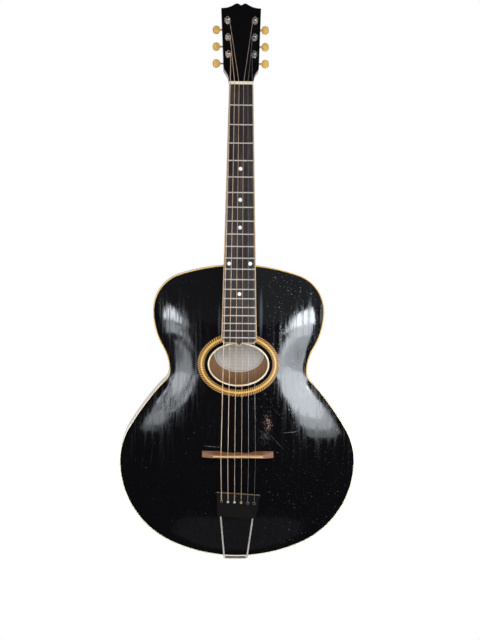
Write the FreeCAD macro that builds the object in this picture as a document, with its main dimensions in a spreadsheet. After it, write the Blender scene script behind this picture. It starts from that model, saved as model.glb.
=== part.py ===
"""Archtop guitar with an oval sound hole, a floating bridge and a trapeze tailpiece.

Frame: millimetres, +Z up along the neck, the top faces -Y, +X is the treble side.
The origin is where a wall hanger's yoke cradles the neck, under the peghead's shoulders.
"""
import FreeCAD
import Part
import math
import os

from FreeCAD import Placement, Rotation, Vector

X_AXIS = Vector(1, 0, 0)
Y_AXIS = Vector(0, 1, 0)
Z_AXIS = Vector(0, 0, 1)

# Driving dimensions: alias, value in millimetres, degrees or a count, and what it is
DIMENSIONS = [
    ("scale_length", 628.65, "nut to bridge, before compensation"),
    ("bridge_compensation", 3.4, "extra string length at the saddle"),
    ("yoke_to_nut", 15, "hanger yoke down to the nut"),
    ("yoke_to_board", 12, "hanger yoke forward to the fingerboard's face at the nut"),
    ("neck_angle", 3.5, "neck leaning back from the rim, degrees"),
    ("head_tilt", 14, "peghead leaning back from the neck, degrees"),
    ("joint_from_nut", 307, "nut to the body's edge"),
    ("board_over_rim", 16.2, "fingerboard's face in front of the rim at the body's edge"),
    ("body_length", 498, "body, tail to neck"),
    ("upper_half", 146, "half width of the upper bout"),
    ("upper_place", 419.5, "upper bout's widest line above the tail"),
    ("waist_half", 117.5, "half width of the waist"),
    ("waist_place", 316.3, "waist above the tail"),
    ("flank_half", 137.2, "half width where the flank is straightest"),
    ("flank_place", 287.3, "straightest place of the flank above the tail"),
    ("flank_slope", 40.4, "flank's lean from the long axis, degrees"),
    ("lower_half", 201, "half width of the lower bout"),
    ("lower_place", 163.8, "lower bout's widest line above the tail"),
    ("side_depth", 92, "rim with the edges of both plates"),
    ("plate_edge", 5.5, "thickness of the top and back plates"),
    ("top_arch", 19, "rise of the top"),
    ("back_arch", 18, "rise of the back"),
    ("binding_width", 1.7, "body binding seen on the face"),
    ("rib_thickness", 2.4, "bent sides"),
    ("lining_width", 6, "linings across"),
    ("lining_height", 13, "linings along the rib"),
    ("glue_line", 0.05, "room left between glued faces"),
    ("hole_place", 328.9, "sound hole's centre above the tail"),
    ("hole_half_width", 52.3, "sound hole's half width, outside its binding"),
    ("hole_half_height", 37.2, "sound hole's half height, outside its binding"),
    ("hole_binding", 2.5, "sound-hole binding"),
    ("rosette_gap", 5.6, "black band between binding and rosette"),
    ("rope_inner", 3.6, "inner rope ring"),
    ("rosette_ring", 3.6, "plain middle ring"),
    ("rope_outer", 4.6, "outer rope ring"),
    ("inlay_depth", 1.5, "rosette's depth in the top"),
    ("brace_drop", 62, "brace below the sound hole's centre"),
    ("brace_width", 9, "brace across its length"),
    ("brace_height", 12, "brace standing into the body"),
    ("label_half_width", 43.5, "paper label"),
    ("label_half_height", 31, "paper label"),
    ("label_rise", 11.2, "label's centre above the hole's centre"),
    ("label_aside", 5, "label's centre to the treble side"),
    ("paper_thickness", 0.25, "paper label"),
    ("block_width", 66, "neck block across"),
    ("block_height", 34, "neck block along the body"),
    ("tail_block_width", 54, "tail block across"),
    ("tail_block_height", 20, "tail block along the body"),
    ("tenon_half", 17, "half width of the neck's tenon"),
    ("tenon_length", 22, "tenon into the body"),
    ("tenon_top", 6, "tenon's front face behind the rim's front"),
    ("tenon_bottom", 86, "tenon's rear face behind the rim's front"),
    ("heel_bottom", 86, "heel's cap behind the rim's front"),
    ("nut_width", 41.3, "fingerboard at the nut"),
    ("board_end_width", 60, "fingerboard at its end"),
    ("board_length", 440.5, "nut to the fingerboard's end"),
    ("board_thickness", 6.5, "fingerboard"),
    ("board_corner", 4.4, "cut corners of the fingerboard's end"),
    ("board_point_half", 5.4, "half width of the point at the board's end"),
    ("board_point", 5.4, "length of that point"),
    ("board_binding", 1.8, "fingerboard binding"),
    ("fret_width", 2.0, "fret crown across"),
    ("fret_height", 1.0, "fret crown above the board"),
    ("tang_width", 0.6, "fret tang across"),
    ("tang_depth", 1.8, "fret tang in the board"),
    ("dot_radius", 3.35, "position dots"),
    ("dot_depth", 1.2, "position dots"),
    ("twin_dot_half", 17.8, "half distance of the twelfth fret's two dots"),
    ("nut_thickness", 5.2, "nut along the strings"),
    ("nut_rise", 1.9, "nut above the fingerboard"),
    ("string_at_nut", 0.9, "under side of the strings above the board at the nut"),
    ("nut_spread", 37.4, "outer strings' distance at the nut"),
    ("saddle_spread", 58.4, "outer strings' distance at the saddle"),
    ("tail_spread", 56, "outer strings' distance at the tailpiece"),
    ("neck_depth", 15.5, "neck wood under the fingerboard at the nut"),
    ("neck_growth", 3.0, "neck wood gained by the heel's start"),
    ("heel_start", 205, "nut to where the heel begins to swell"),
    ("heel_swell", 112, "depth gained by the heel at the body"),
    ("riser_inset", 2.2, "riser inside the fingerboard's edge"),
    ("riser_start", 309, "nut to the riser's start, clear of the neck"),
    ("riser_end", 428, "nut to the riser's end"),
    ("head_drop", 4.8, "peghead's face behind the fingerboard's face at the nut"),
    ("veneer_thickness", 1.8, "peghead veneer"),
    ("head_thickness", 14, "peghead's wood"),
    ("bridge_length", 121, "bridge foot to foot"),
    ("bridge_top_length", 86, "level part of the bridge"),
    ("bridge_foot_width", 12.4, "bridge along the strings at its foot"),
    ("bridge_top_width", 6, "bridge along the strings at its top"),
    ("bridge_tail_side", 2.3, "saddle's middle to the bridge's tail face"),
    ("bridge_tip", 5.5, "bridge's height at its wing tips"),
    ("bridge_arch_half", 28, "half width of the arch between the feet"),
    ("bridge_arch", 8, "height of that arch"),
    ("bridge_cusp", 3.2, "drop of the arch's middle point"),
    ("saddle_height", 43.5, "saddle's crest in front of the rim"),
    ("saddle_length", 85, "bone saddle"),
    ("saddle_thickness", 3, "bone saddle"),
    ("saddle_stand", 3, "saddle above the bridge's wood"),
    ("saddle_seat", 3.5, "saddle in the bridge's wood"),
    ("hinge_place", -2.5, "tailpiece hinge axis above the tail"),
    ("hinge_front", -1.2, "tailpiece hinge axis behind the rim's front"),
    ("hinge_offset", -1.1, "tailpiece hinge's middle to the treble side"),
    ("frame_wire", 2.8, "diameter of the tailpiece's wire frame"),
    ("frame_foot_half", 19.3, "half distance of the wires at the hinge"),
    ("frame_head_half", 28.2, "half distance of the wires at the plate"),
    ("plate_low", 73, "hinge to the tailpiece plate's lower edge"),
    ("plate_high", 115.6, "hinge to its upper edge"),
    ("plate_low_half", 32.5, "half width of its lower edge"),
    ("plate_high_half", 37, "half width of its upper edge"),
    ("plate_thickness", 4.6, "tailpiece plate"),
    ("plate_lean", 3.6, "plate leaning clockwise, degrees"),
    ("pin_row", 101.1, "hinge to the row of pins"),
    ("pin_radius", 1.5, "string pin's shank"),
    ("pin_head", 2.6, "string pin's head radius"),
    ("bracket_half", 17.2, "half width of the tail bracket"),
    ("bracket_drop", 42, "tail bracket along the tail"),
    ("bracket_thickness", 0.9, "sheet of the tail bracket"),
    ("post_low", 48.5, "nut's rear edge to the lowest posts"),
    ("post_step", 31, "distance from post to post"),
    ("post_low_half", 21.8, "half distance of the lowest pair of posts"),
    ("post_flare", 0.8, "gain of that half distance from pair to pair"),
    ("post_radius", 3, "tuning post"),
    ("post_rise", 14, "post's tip in front of the peghead's face"),
    ("post_hole", 1.1, "radius of the post's string hole"),
    ("running_gap", 0.05, "radial room of a turning fit"),
    ("bushing_flange", 5.2, "radius of the bushing's flange"),
    ("bushing_sleeve", 4.2, "radius of the bushing's sleeve"),
    ("bushing_lip", 1.2, "flange's thickness"),
    ("bushing_length", 8, "sleeve in the peghead"),
    ("tuner_plate", 1.2, "thickness of the tuner plate"),
    ("tuner_plate_width", 15.6, "tuner plate across"),
    ("tuner_plate_foot", 18, "tuner plate below its lowest post"),
    ("tuner_plate_end", 13, "tuner plate above its highest post"),
    ("gear_teeth", 14, "teeth of a tuner gear"),
    ("gear_pitch_radius", 5.4, "pitch radius of the gear"),
    ("gear_addendum", 0.6, "tooth outside the pitch radius"),
    ("gear_dedendum", 0.85, "tooth root inside the pitch radius"),
    ("gear_thickness", 3, "tuner gear"),
    ("gear_stand", 1.9, "gear behind the tuner plate"),
    ("gear_square", 3.6, "square end of the post"),
    ("worm_distance", 8, "worm axis to post axis"),
    ("worm_core", 1.7, "radius of the worm's core"),
    ("worm_outer", 2.9, "radius of the worm's thread"),
    ("worm_length", 9.6, "worm along its shaft"),
    ("shaft_radius", 1.5, "button shaft"),
    ("lug_thickness", 2.2, "bearing lug of the tuner plate"),
    ("lug_width", 5, "bearing lug across"),
    ("button_place", 42, "centre line to the button's middle"),
    ("button_half_length", 6.5, "button along its shaft"),
    ("button_half_width", 8, "button across its shaft"),
    ("button_half_thickness", 4, "button's thickness"),
    ("coil_turns", 3, "turns of a string on its post"),
    ("coil_room", 0.25, "room between post and coil"),
    ("coil_gap", 0.5, "room between the turns of a coil"),
]

doc = FreeCAD.newDocument("archtop_guitar")
sheet = doc.addObject("Spreadsheet::Sheet", "dims")
for row, (alias, value, meaning) in enumerate(DIMENSIONS, start=1):
    sheet.set(f"A{row}", meaning)
    sheet.set(f"B{row}", str(value))
    sheet.setAlias(f"B{row}", alias)
doc.recompute()

parts = []


def dim(alias):
    """A driving dimension's value from the sheet."""
    return float(sheet.get(alias))


def bind(item, **sizes):
    """Tie an object's properties to the sheet: property=expression in sheet aliases."""
    for name, expression in sizes.items():
        words = expression.replace("(", " ( ").replace(")", " ) ").split()
        linked = ["dims." + word if word[0].isalpha() and word != "pi" else word for word in words]
        item.setExpression(name, " ".join(linked))


def keep(item, label):
    """Mark an object as a finished sub-part and give it its name."""
    item.Label = label
    parts.append(item)
    return item


def solid(label, shape, placement=Placement()):
    """A sub-part, or a stage of one, whose shape is worked out in code."""
    item = doc.addObject("Part::Feature", label)
    item.Shape = shape
    item.Placement = placement
    return item


def combine(kind, label, base, tool):
    """A boolean of two objects: kind is Cut, Fuse or Common."""
    item = doc.addObject("Part::" + kind, label)
    item.Base = base
    item.Tool = tool
    return item


def fuse_all(label, items):
    """One object fused from several."""
    item = doc.addObject("Part::MultiFuse", label)
    item.Shapes = items
    return item


def group(label, shape, placements):
    """A named node of like pieces: one solid for each placement."""
    copies = []
    for placement in placements:
        piece = shape.copy()
        piece.Placement = placement.multiply(piece.Placement)
        copies.append(piece)
    return keep(solid(label, Part.makeCompound(copies)), label)


def new_body(label, placement):
    """An empty body standing in the given frame."""
    body = doc.addObject("PartDesign::Body", label)
    body.Placement = placement
    return body


def origin_feature(body, role):
    """A body's own datum plane or axis."""
    return next(item for item in body.Origin.OriginFeatures if item.Role == role)


def draw(body, name, role, edges, offset=0.0):
    """A sketch of the given edges on one of the body's planes, moved along its normal."""
    sketch = body.newObject("Sketcher::SketchObject", name)
    sketch.AttachmentSupport = [(origin_feature(body, role), "")]
    sketch.MapMode = "FlatFace"
    sketch.AttachmentOffset = Placement(Vector(0, 0, offset), Rotation())
    for edge in edges:
        sketch.addGeometry(edge)
    return sketch


def outline(points):
    """Straight edges round a list of corners."""
    corners = [Vector(x, y, 0) for x, y in points]
    return [Part.LineSegment(a, b) for a, b in zip(corners, corners[1:] + corners[:1])]


def ring(x, y, radius):
    """A circle for a sketch."""
    return [Part.Circle(Vector(x, y, 0), Z_AXIS, radius)]


def pad(body, sketch, length, backward=False, midplane=False):
    """Raise a sketch by a length given in sheet aliases."""
    feature = body.newObject("PartDesign::Pad", sketch.Name + "_pad")
    feature.Profile = sketch
    feature.Reversed = backward
    feature.Midplane = midplane
    bind(feature, Length=length)
    return feature


def drill(body, sketch, backward=False, midplane=False):
    """Cut a sketch through the whole body."""
    feature = body.newObject("PartDesign::Pocket", sketch.Name + "_pocket")
    feature.Profile = sketch
    feature.Type = "ThroughAll"
    feature.Reversed = backward
    feature.Midplane = midplane
    return feature


def cylinder(label, radius, height, placement):
    """A round bar along its own Z, with sizes in sheet aliases."""
    item = doc.addObject("Part::Cylinder", label)
    bind(item, Radius=radius, Height=height)
    item.Placement = placement
    return item


def prism(label, wire, depth):
    """A flat outline drawn out along +Y."""
    return solid(label, Part.Face(wire).extrude(Vector(0, depth, 0)))


# The three leaning frames: body, neck and peghead
turn_neck = Rotation(X_AXIS, -dim("neck_angle"))
turn_head = Rotation(X_AXIS, -dim("head_tilt"))
neck_frame = Placement(Vector(0, -dim("yoke_to_board"), -dim("yoke_to_nut")), turn_neck)
joint_point = neck_frame.multVec(Vector(0, 0, -dim("joint_from_nut")))
tail_corner = Vector(0, joint_point.y + dim("board_over_rim"), joint_point.z - dim("body_length"))
body_frame = Placement(tail_corner, Rotation())
head_start = Vector(0, dim("head_drop"), dim("nut_thickness"))
head_frame = neck_frame.multiply(Placement(head_start, turn_head))


# Tangent arcs, used by the body's outline and by the turns of the strings
def biarc_joint(start, heading, finish, end_heading, balance):
    """Where two arcs meet that leave start and reach finish along the given unit headings."""
    gap = finish - start
    square = 2 * balance * (1 - heading.dot(end_heading))
    linear = 2 * (gap.dot(heading) + balance * gap.dot(end_heading))
    if abs(square) < 1e-9:
        reach = gap.dot(gap) / linear
    else:
        root = math.sqrt(linear ** 2 + 4 * square * gap.dot(gap))
        reach = (root - linear) / (2 * square)
    first = start + heading * reach
    second = finish - end_heading * (balance * reach)
    return (first * balance + second) * (1 / (1 + balance))


def arc_middle(start, heading, finish):
    """Middle point of the arc that leaves start along heading and ends at finish."""
    chord = finish - start
    along = chord * (1 / chord.Length)
    side = heading - along * along.dot(heading)
    if side.Length < 1e-9:
        return start + chord * 0.5
    half_turn = math.asin(min(1.0, side.Length))
    return start + chord * 0.5 + side * (chord.Length / 2 * math.tan(half_turn / 2) / side.Length)


def heading_after(start, heading, finish):
    """Heading at the end of that arc."""
    chord = finish - start
    along = chord * (1 / chord.Length)
    return along * (2 * along.dot(heading)) - heading


def biarc(start, heading, finish, end_heading, balance=1.0):
    """Two tangent arcs, each as start, middle and end, with the heading at each of these."""
    joint = biarc_joint(start, heading, finish, end_heading, balance)
    arcs = []
    for first, last, lead in ((start, joint, heading),
                              (joint, finish, heading_after(start, heading, joint))):
        chord = last - first
        middle = arc_middle(first, lead, last)
        arcs.append([(first, lead),
                     (middle, chord * (1 / chord.Length)),
                     (last, heading_after(first, lead, last))])
    return arcs


# Body outline: one half as tangent arcs from the neck round to the tail
def half_outline():
    """Arcs of the treble half in the body's frame, from the top's middle to the tail's."""
    lean = math.radians(dim("flank_slope"))
    right, down, left = Vector(1, 0, 0), Vector(0, 0, -1), Vector(-1, 0, 0)
    flank = Vector(math.sin(lean), 0, -math.cos(lean))
    stations = [
        (Vector(0, 0, dim("body_length")), right, 0.9),
        (Vector(dim("upper_half"), 0, dim("upper_place")), down, 0.65),
        (Vector(dim("waist_half"), 0, dim("waist_place")), down, 1.0),
        (Vector(dim("flank_half"), 0, dim("flank_place")), flank, 0.72),
        (Vector(dim("lower_half"), 0, dim("lower_place")), down, 0.57),
        (Vector(0, 0, 0), left, 1.0),
    ]
    arcs = []
    for (start, heading, balance), (finish, end_heading, _) in zip(stations, stations[1:]):
        arcs += biarc(start, heading, finish, end_heading, balance)
    return arcs


half_arcs = half_outline()


def inset_arcs(inset, side=1):
    """Three points of every arc, moved inward; side is 1 for the treble half, -1 for the bass."""
    moved = []
    for arc in half_arcs:
        points = []
        for point, heading in arc:
            inward = Vector(heading.z, 0, -heading.x)
            at = point + inward * inset
            points.append(Vector(side * at.x, 0, at.z))
        moved.append(points)
    return moved


def outline_wire(inset, depth):
    """The closed body outline, moved inward, at a depth behind the rim's front."""
    right = [Part.Arc(*points).toShape() for points in inset_arcs(inset)]
    left = [Part.Arc(*reversed(points)).toShape() for points in reversed(inset_arcs(inset, -1))]
    wire = Part.Wire(right + left)
    wire.translate(Vector(0, depth, 0))
    return wire


def outline_profile():
    """Points along the treble half, from neck to tail, as half width and height."""
    samples = []
    for points in inset_arcs(0):
        curve = Part.Arc(*points)
        span = curve.LastParameter - curve.FirstParameter
        samples += [curve.value(curve.FirstParameter + span * step / 24) for step in range(24)]
    return [(point.x, point.z) for point in samples] + [(0.0, 0.0)]


profile = outline_profile()


def half_width(height):
    """Half width of the body at a height above the tail."""
    for (wide, high), (next_wide, low) in zip(profile, profile[1:]):
        if low <= height <= high and high > low:
            return next_wide + (wide - next_wide) * (height - low) / (high - low)
    return 0.0


# Arch of the plates: a sprung membrane over the outline, steep near the rim and flat in the middle
ARCH_STEP = 7.5
ARCH_ROUNDS = 260
ARCH_PULL = 1.85
ARCH_EDGE_POWER = 2.0
ARCH_CLIMB = 47.0


def membrane():
    """Heights of the stretched membrane on a grid over the treble half, 1 at its peak."""
    columns = int(dim("lower_half") / ARCH_STEP) + 2
    rows = int(dim("body_length") / ARCH_STEP) + 2
    widths = [half_width(row * ARCH_STEP) for row in range(rows)]
    rise = [[0.0] * columns for _ in range(rows)]
    spring = 1 / ARCH_CLIMB ** 2
    nodes = []
    for row in range(1, rows - 1):
        for column in range(columns):
            room = widths[row] - column * ARCH_STEP
            if room <= 0.05:
                continue
            outward = min(ARCH_STEP, room)
            above = arm(room, widths[row + 1] - column * ARCH_STEP)
            below = arm(room, widths[row - 1] - column * ARCH_STEP)
            nodes.append((row, column, outward, above, below))
    for _ in range(ARCH_ROUNDS):
        for row, column, outward, above, below in nodes:
            line = rise[row]
            inner = line[abs(column - 1)]
            outer = line[column + 1] if outward == ARCH_STEP and column + 1 < columns else 0.0
            upper = rise[row + 1][column] if above == ARCH_STEP else 0.0
            lower = rise[row - 1][column] if below == ARCH_STEP else 0.0
            across = (inner / ARCH_STEP + outer / outward) * 2 / (ARCH_STEP + outward)
            along = (upper / above + lower / below) * 2 / (above + below)
            stiffness = 2 / (ARCH_STEP * outward) + 2 / (above * below) + spring
            line[column] += ARCH_PULL * ((spring + across + along) / stiffness - line[column])
    peak = max(max(line) for line in rise)
    return [[value / peak for value in line] for line in rise]


def arm(room, next_room):
    """Distance along the body to the edge or to the next grid line, whichever is nearer."""
    if next_room > 0:
        return ARCH_STEP
    return max(0.05, ARCH_STEP * room / (room - next_room))


rise_grid = membrane()


def rise_at(column, row):
    """Share of the arch at a grid point; nothing outside the outline."""
    column = abs(column)
    if row < 0 or row >= len(rise_grid) or column >= len(rise_grid[0]):
        return 0.0
    return rise_grid[row][column] ** ARCH_EDGE_POWER


def top_rise(x, height):
    """Rise of the top in front of its rim at a place on the body."""
    column, row = abs(x) / ARCH_STEP, height / ARCH_STEP
    left, low = int(column), int(row)
    across, up = column - left, row - low
    lower = rise_at(left, low) * (1 - across) + rise_at(left + 1, low) * across
    upper = rise_at(left, low + 1) * (1 - across) + rise_at(left + 1, low + 1) * across
    return dim("top_arch") * (lower * (1 - up) + upper * up)


def arched_face(depth, height):
    """A carved face: depth behind the rim's front, height of its arch towards +Y."""
    spacing = 2
    reach = len(rise_grid[0]) // spacing * spacing + spacing
    columns = range(-reach, reach + 1, spacing)
    rows = range(-spacing, len(rise_grid) + spacing, spacing)
    grid = []
    for column in columns:
        grid.append([Vector(column * ARCH_STEP, depth + height * rise_at(column, row),
                            row * ARCH_STEP) for row in rows])
    surface = Part.BSplineSurface()
    surface.interpolate(grid)
    return surface.toShape()


def carved(depth, height, thickness):
    """A slab between a carved face and the same face moved along Y."""
    return arched_face(depth, height).extrude(Vector(0, thickness, 0))


def oval(label, across, along, height, front, back, aside=0):
    """An oval bar through the body between two depths, its half sizes in sheet aliases."""
    ellipse = doc.addObject("Part::Ellipse", label + "_line")
    bind(ellipse, MajorRadius=across, MinorRadius=along)
    ellipse.Placement = Placement(Vector(aside, front, height), Rotation(X_AXIS, 90))
    bar = doc.addObject("Part::Extrusion", label)
    bar.Base = ellipse
    bar.DirMode = "Custom"
    bar.Dir = Y_AXIS
    bar.LengthFwd = back - front
    bar.Solid = True
    return bar


def to_body_frame(item):
    """Stand a finished boolean, made in the body's own frame, in the guitar's frame."""
    item.Placement = body_frame
    return item


# Top plate with its sound hole, hole binding and rosette
glue = dim("glue_line")
front_limit = -dim("top_arch") - 10
back_limit = dim("side_depth") + dim("back_arch") + 10
plate_outline = outline_wire(dim("binding_width") + glue, front_limit)
top_blank = combine("Common", "top_blank",
                    solid("top_slab", carved(0, -dim("top_arch"), dim("plate_edge"))),
                    prism("plate_bar", plate_outline, back_limit - front_limit))

hole_height = dim("hole_place")
hole_back = 20
hole = oval("hole_bar", "hole_half_width", "hole_half_height", hole_height, front_limit, hole_back)
RING_STEPS = ["rosette_gap", "rope_inner", "rosette_ring", "rope_outer"]


def ring_bar(label, steps, room):
    """Oval bar round the hole, out to the given rings, with a multiple of the glue line."""
    growth = " + ".join(steps) + f" {room} * glue_line"
    return oval(label, "hole_half_width + " + growth, "hole_half_height + " + growth,
                hole_height, front_limit, hole_back)


channel_outer = ring_bar("channel_outer", RING_STEPS, "+ 1")
channel_inner = ring_bar("channel_inner", RING_STEPS[:1], "- 1")
front_layer = solid("front_layer", carved(0, -dim("top_arch"), dim("inlay_depth") + glue))
channel = combine("Common", "rosette_channel", front_layer,
                  combine("Cut", "channel_bar", channel_outer, channel_inner))
top_open = combine("Cut", "top_open", top_blank, hole)
keep(to_body_frame(combine("Cut", "top_plate", top_open, channel)), "top_plate")

hole_ring = combine("Cut", "hole_ring",
                    oval("hole_ring_outer", "hole_half_width - glue_line",
                         "hole_half_height - glue_line", hole_height, front_limit, hole_back),
                    oval("hole_ring_inner", "hole_half_width - hole_binding",
                         "hole_half_height - hole_binding", hole_height, front_limit, hole_back))
hole_layer = solid("hole_layer", carved(0, -dim("top_arch"), dim("plate_edge")))
keep(to_body_frame(combine("Common", "soundhole_binding", hole_layer, hole_ring)),
     "soundhole_binding")

inlay_layer = solid("inlay_layer", carved(0, -dim("top_arch"), dim("inlay_depth")))
rosette_rings = []
for count in (2, 3, 4):
    ring_tube = combine("Cut", f"rosette_tube_{count}",
                        ring_bar(f"rosette_outer_{count}", RING_STEPS[:count], "- 0"),
                        ring_bar(f"rosette_inner_{count}", RING_STEPS[:count - 1], "+ 1"))
    rosette_rings.append(combine("Common", f"rosette_ring_{count}", inlay_layer, ring_tube))
rosette = doc.addObject("Part::Compound", "rosette_inlay")
rosette.Links = rosette_rings
keep(to_body_frame(rosette), "rosette_inlay")

# Back plate and the paper label glued inside it
inner_back = dim("side_depth") - dim("plate_edge")
back_slab = solid("back_slab", carved(inner_back, dim("back_arch"), dim("plate_edge")))
back_bar = prism("back_bar", plate_outline, back_limit - front_limit)
keep(to_body_frame(combine("Common", "back_plate", back_slab, back_bar)), "back_plate")

label_bar = oval("label_bar", "label_half_width", "label_half_height",
                 hole_height + dim("label_rise"), 0, back_limit, dim("label_aside"))
label_depth = inner_back - dim("paper_thickness") - glue
label_layer = solid("label_layer", carved(label_depth, dim("back_arch"), dim("paper_thickness")))
keep(to_body_frame(combine("Common", "paper_label", label_layer, label_bar)), "paper_label")

# Bindings round both plates
binding_rings = []
for name, depth in (("front", 0.0), ("rear", inner_back)):
    outer = prism(name + "_binding_outer", outline_wire(0, depth), dim("plate_edge"))
    inner = prism(name + "_binding_inner", outline_wire(dim("binding_width"), depth),
                  dim("plate_edge"))
    binding_rings.append(combine("Cut", name + "_binding", outer, inner))
bindings = doc.addObject("Part::Compound", "body_bindings")
bindings.Links = binding_rings
keep(to_body_frame(bindings), "body_bindings")

# Ribs: two bent sides that meet at the tail and stop at the neck's tenon
TAIL_SCREWS = [(-9, 15), (9, 15), (-9, 35), (9, 35)]
SCREW_ROOM = 0.03
RIB_SLOT = 8.0
OVERCUT = 2.0
tail_screw_radius = 1.4
tail_screw_length = 15.0
hinge_x = dim("hinge_offset")
tail_screw_holes = Part.makeCompound([
    Part.makeCylinder(tail_screw_radius + SCREW_ROOM, tail_screw_length + OVERCUT,
                      Vector(hinge_x + x, y, -OVERCUT), Z_AXIS)
    for x, y in TAIL_SCREWS])


def flat_arcs(inset, side):
    """The outline's arcs drawn in a sketch's own plane."""
    return [Part.Arc(*[Vector(point.x, point.z, 0) for point in points])
            for points in inset_arcs(inset, side)]


def make_rib(label, side):
    """One side, bent round half the outline."""
    body = new_body(label + "_bent", Placement())
    edges = []
    ends = []
    for inset in (0, dim("rib_thickness")):
        arcs = flat_arcs(inset, side)
        edges += arcs
        ends.append((arcs[0].StartPoint, arcs[-1].EndPoint))
    edges += [Part.LineSegment(ends[0][end], ends[1][end]) for end in (0, 1)]
    sketch = draw(body, label + "_outline", "XZ_Plane", edges, -dim("plate_edge"))
    pad(body, sketch, "side_depth - 2 * plate_edge", backward=True)
    reach = side * (dim("tenon_half") + glue)
    top = dim("body_length")
    slot_foot, slot_head = top - RIB_SLOT, top + OVERCUT
    slot = outline([(-side, slot_foot), (reach, slot_foot), (reach, slot_head), (-side, slot_head)])
    drill(body, draw(body, label + "_slot", "XZ_Plane", slot), midplane=True)
    drilled = combine("Cut", label, body, solid(label + "_holes", tail_screw_holes))
    keep(to_body_frame(drilled), label)


make_rib("left_rib", -1)
make_rib("right_rib", 1)

# Blocks and linings inside the rim
inside = dim("rib_thickness") + glue
inside_bar = prism("inside_bar", outline_wire(inside, 0), dim("side_depth"))
tenon_top, tenon_bottom = dim("tenon_top"), dim("tenon_bottom")


def box(label, placement, **sizes):
    """A block whose Length, Width and Height are given in sheet aliases."""
    item = doc.addObject("Part::Box", label)
    bind(item, **sizes)
    item.Placement = placement
    return item


def at(x, y, z):
    """A placement that only moves."""
    return Placement(Vector(x, y, z), Rotation())


body_top = dim("body_length")
neck_block_box = box("neck_block_box",
                     at(-dim("block_width") / 2, dim("plate_edge"),
                        body_top - dim("block_height")),
                     Length="block_width", Width="side_depth - 2 * plate_edge",
                     Height="block_height")
mortise = box("mortise", at(-dim("tenon_half") - glue, 0, body_top - dim("tenon_length") - glue),
              Length="2 * tenon_half + 2 * glue_line", Width="side_depth", Height="tenon_length + 5")
neck_block_fitted = combine("Common", "neck_block_fitted", neck_block_box, inside_bar)
keep(to_body_frame(combine("Cut", "neck_block", neck_block_fitted, mortise)), "neck_block")

tail_block_box = box("tail_block_box", at(-dim("tail_block_width") / 2, dim("plate_edge"), 0),
                     Length="tail_block_width", Width="side_depth - 2 * plate_edge",
                     Height="tail_block_height")
tail_block_fitted = combine("Common", "tail_block_fitted", tail_block_box, inside_bar)
tail_block_holes = solid("tail_block_holes", tail_screw_holes)
keep(to_body_frame(combine("Cut", "tail_block", tail_block_fitted, tail_block_holes)), "tail_block")

lining_rings = []
for name, depth in (("front", dim("plate_edge")), ("rear", inner_back - dim("lining_height"))):
    outer = prism(name + "_lining_outer", outline_wire(inside, depth), dim("lining_height"))
    inner = prism(name + "_lining_inner", outline_wire(inside + dim("lining_width"), depth),
                  dim("lining_height"))
    lining_rings.append(combine("Cut", name + "_lining", outer, inner))
lining_pair = doc.addObject("Part::Compound", "lining_pair")
lining_pair.Links = lining_rings
neck_gap = box("neck_gap", at(-dim("block_width") / 2 - glue, 0, body_top - dim("block_height")),
               Length="block_width + 2 * glue_line", Width="side_depth", Height="block_height + 5")
tail_gap = box("tail_gap", at(-dim("tail_block_width") / 2 - glue, 0, -5),
               Length="tail_block_width + 2 * glue_line", Width="side_depth",
               Height="tail_block_height + 5")
lining_open = combine("Cut", "lining_open", lining_pair, neck_gap)
keep(to_body_frame(combine("Cut", "linings", lining_open, tail_gap)), "linings")

# Brace across the top, fitted to its under side
brace_height = hole_height - dim("brace_drop")
brace_half = half_width(brace_height) - inside - dim("lining_width") - 2
under_depth = 40
brace_cut = solid("brace_cut", carved(-under_depth, -dim("top_arch"),
                                      under_depth + dim("plate_edge") + glue))
brace_back = dim("plate_edge") - dim("top_arch") + dim("brace_height")
brace_bar = doc.addObject("Part::Box", "brace_bar")
brace_bar.Length = 2 * brace_half
bind(brace_bar, Height="brace_width", Width="brace_height + top_arch")
brace_bar.Placement = at(-brace_half, brace_back - dim("brace_height") - dim("top_arch"),
                         brace_height - dim("brace_width") / 2)
keep(to_body_frame(combine("Cut", "transverse_brace", brace_bar, brace_cut)), "transverse_brace")

# Neck: shaft and heel lofted through rounded sections, peghead and tenon in one piece with them
under_board = dim("board_thickness")
SECTION_POINTS = 8


def board_half(distance):
    """Half width of the fingerboard at a distance from the nut."""
    return (dim("nut_width") + (dim("board_end_width") - dim("nut_width"))
            * distance / dim("board_length")) / 2


def neck_section(height, half, front, depth):
    """A half-oval section of the neck, flat in front."""
    turns = [math.pi * step / SECTION_POINTS for step in range(SECTION_POINTS + 1)]
    points = [Vector(half * math.cos(turn), front + depth * math.sin(turn), height) for turn in turns]
    curve = Part.BSplineCurve()
    curve.interpolate(points)
    flat = Part.LineSegment(points[-1], points[0])
    return Part.Wire([curve.toShape(), flat.toShape()])


def neck_depth(distance):
    """Depth of the neck's wood under the fingerboard."""
    straight = dim("neck_depth") + dim("neck_growth") * distance / dim("heel_start")
    swell = max(0.0, distance - dim("heel_start")) / (dim("joint_from_nut") - dim("heel_start"))
    return straight + dim("heel_swell") * swell ** 3


def loft(label, wires, ruled):
    """A solid through a row of sections."""
    sections = []
    for count, wire in enumerate(wires):
        sections.append(solid(f"{label}_section_{count}", wire))
    item = doc.addObject("Part::Loft", label)
    item.Sections = sections
    item.Solid = True
    item.Ruled = ruled
    return item


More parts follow.
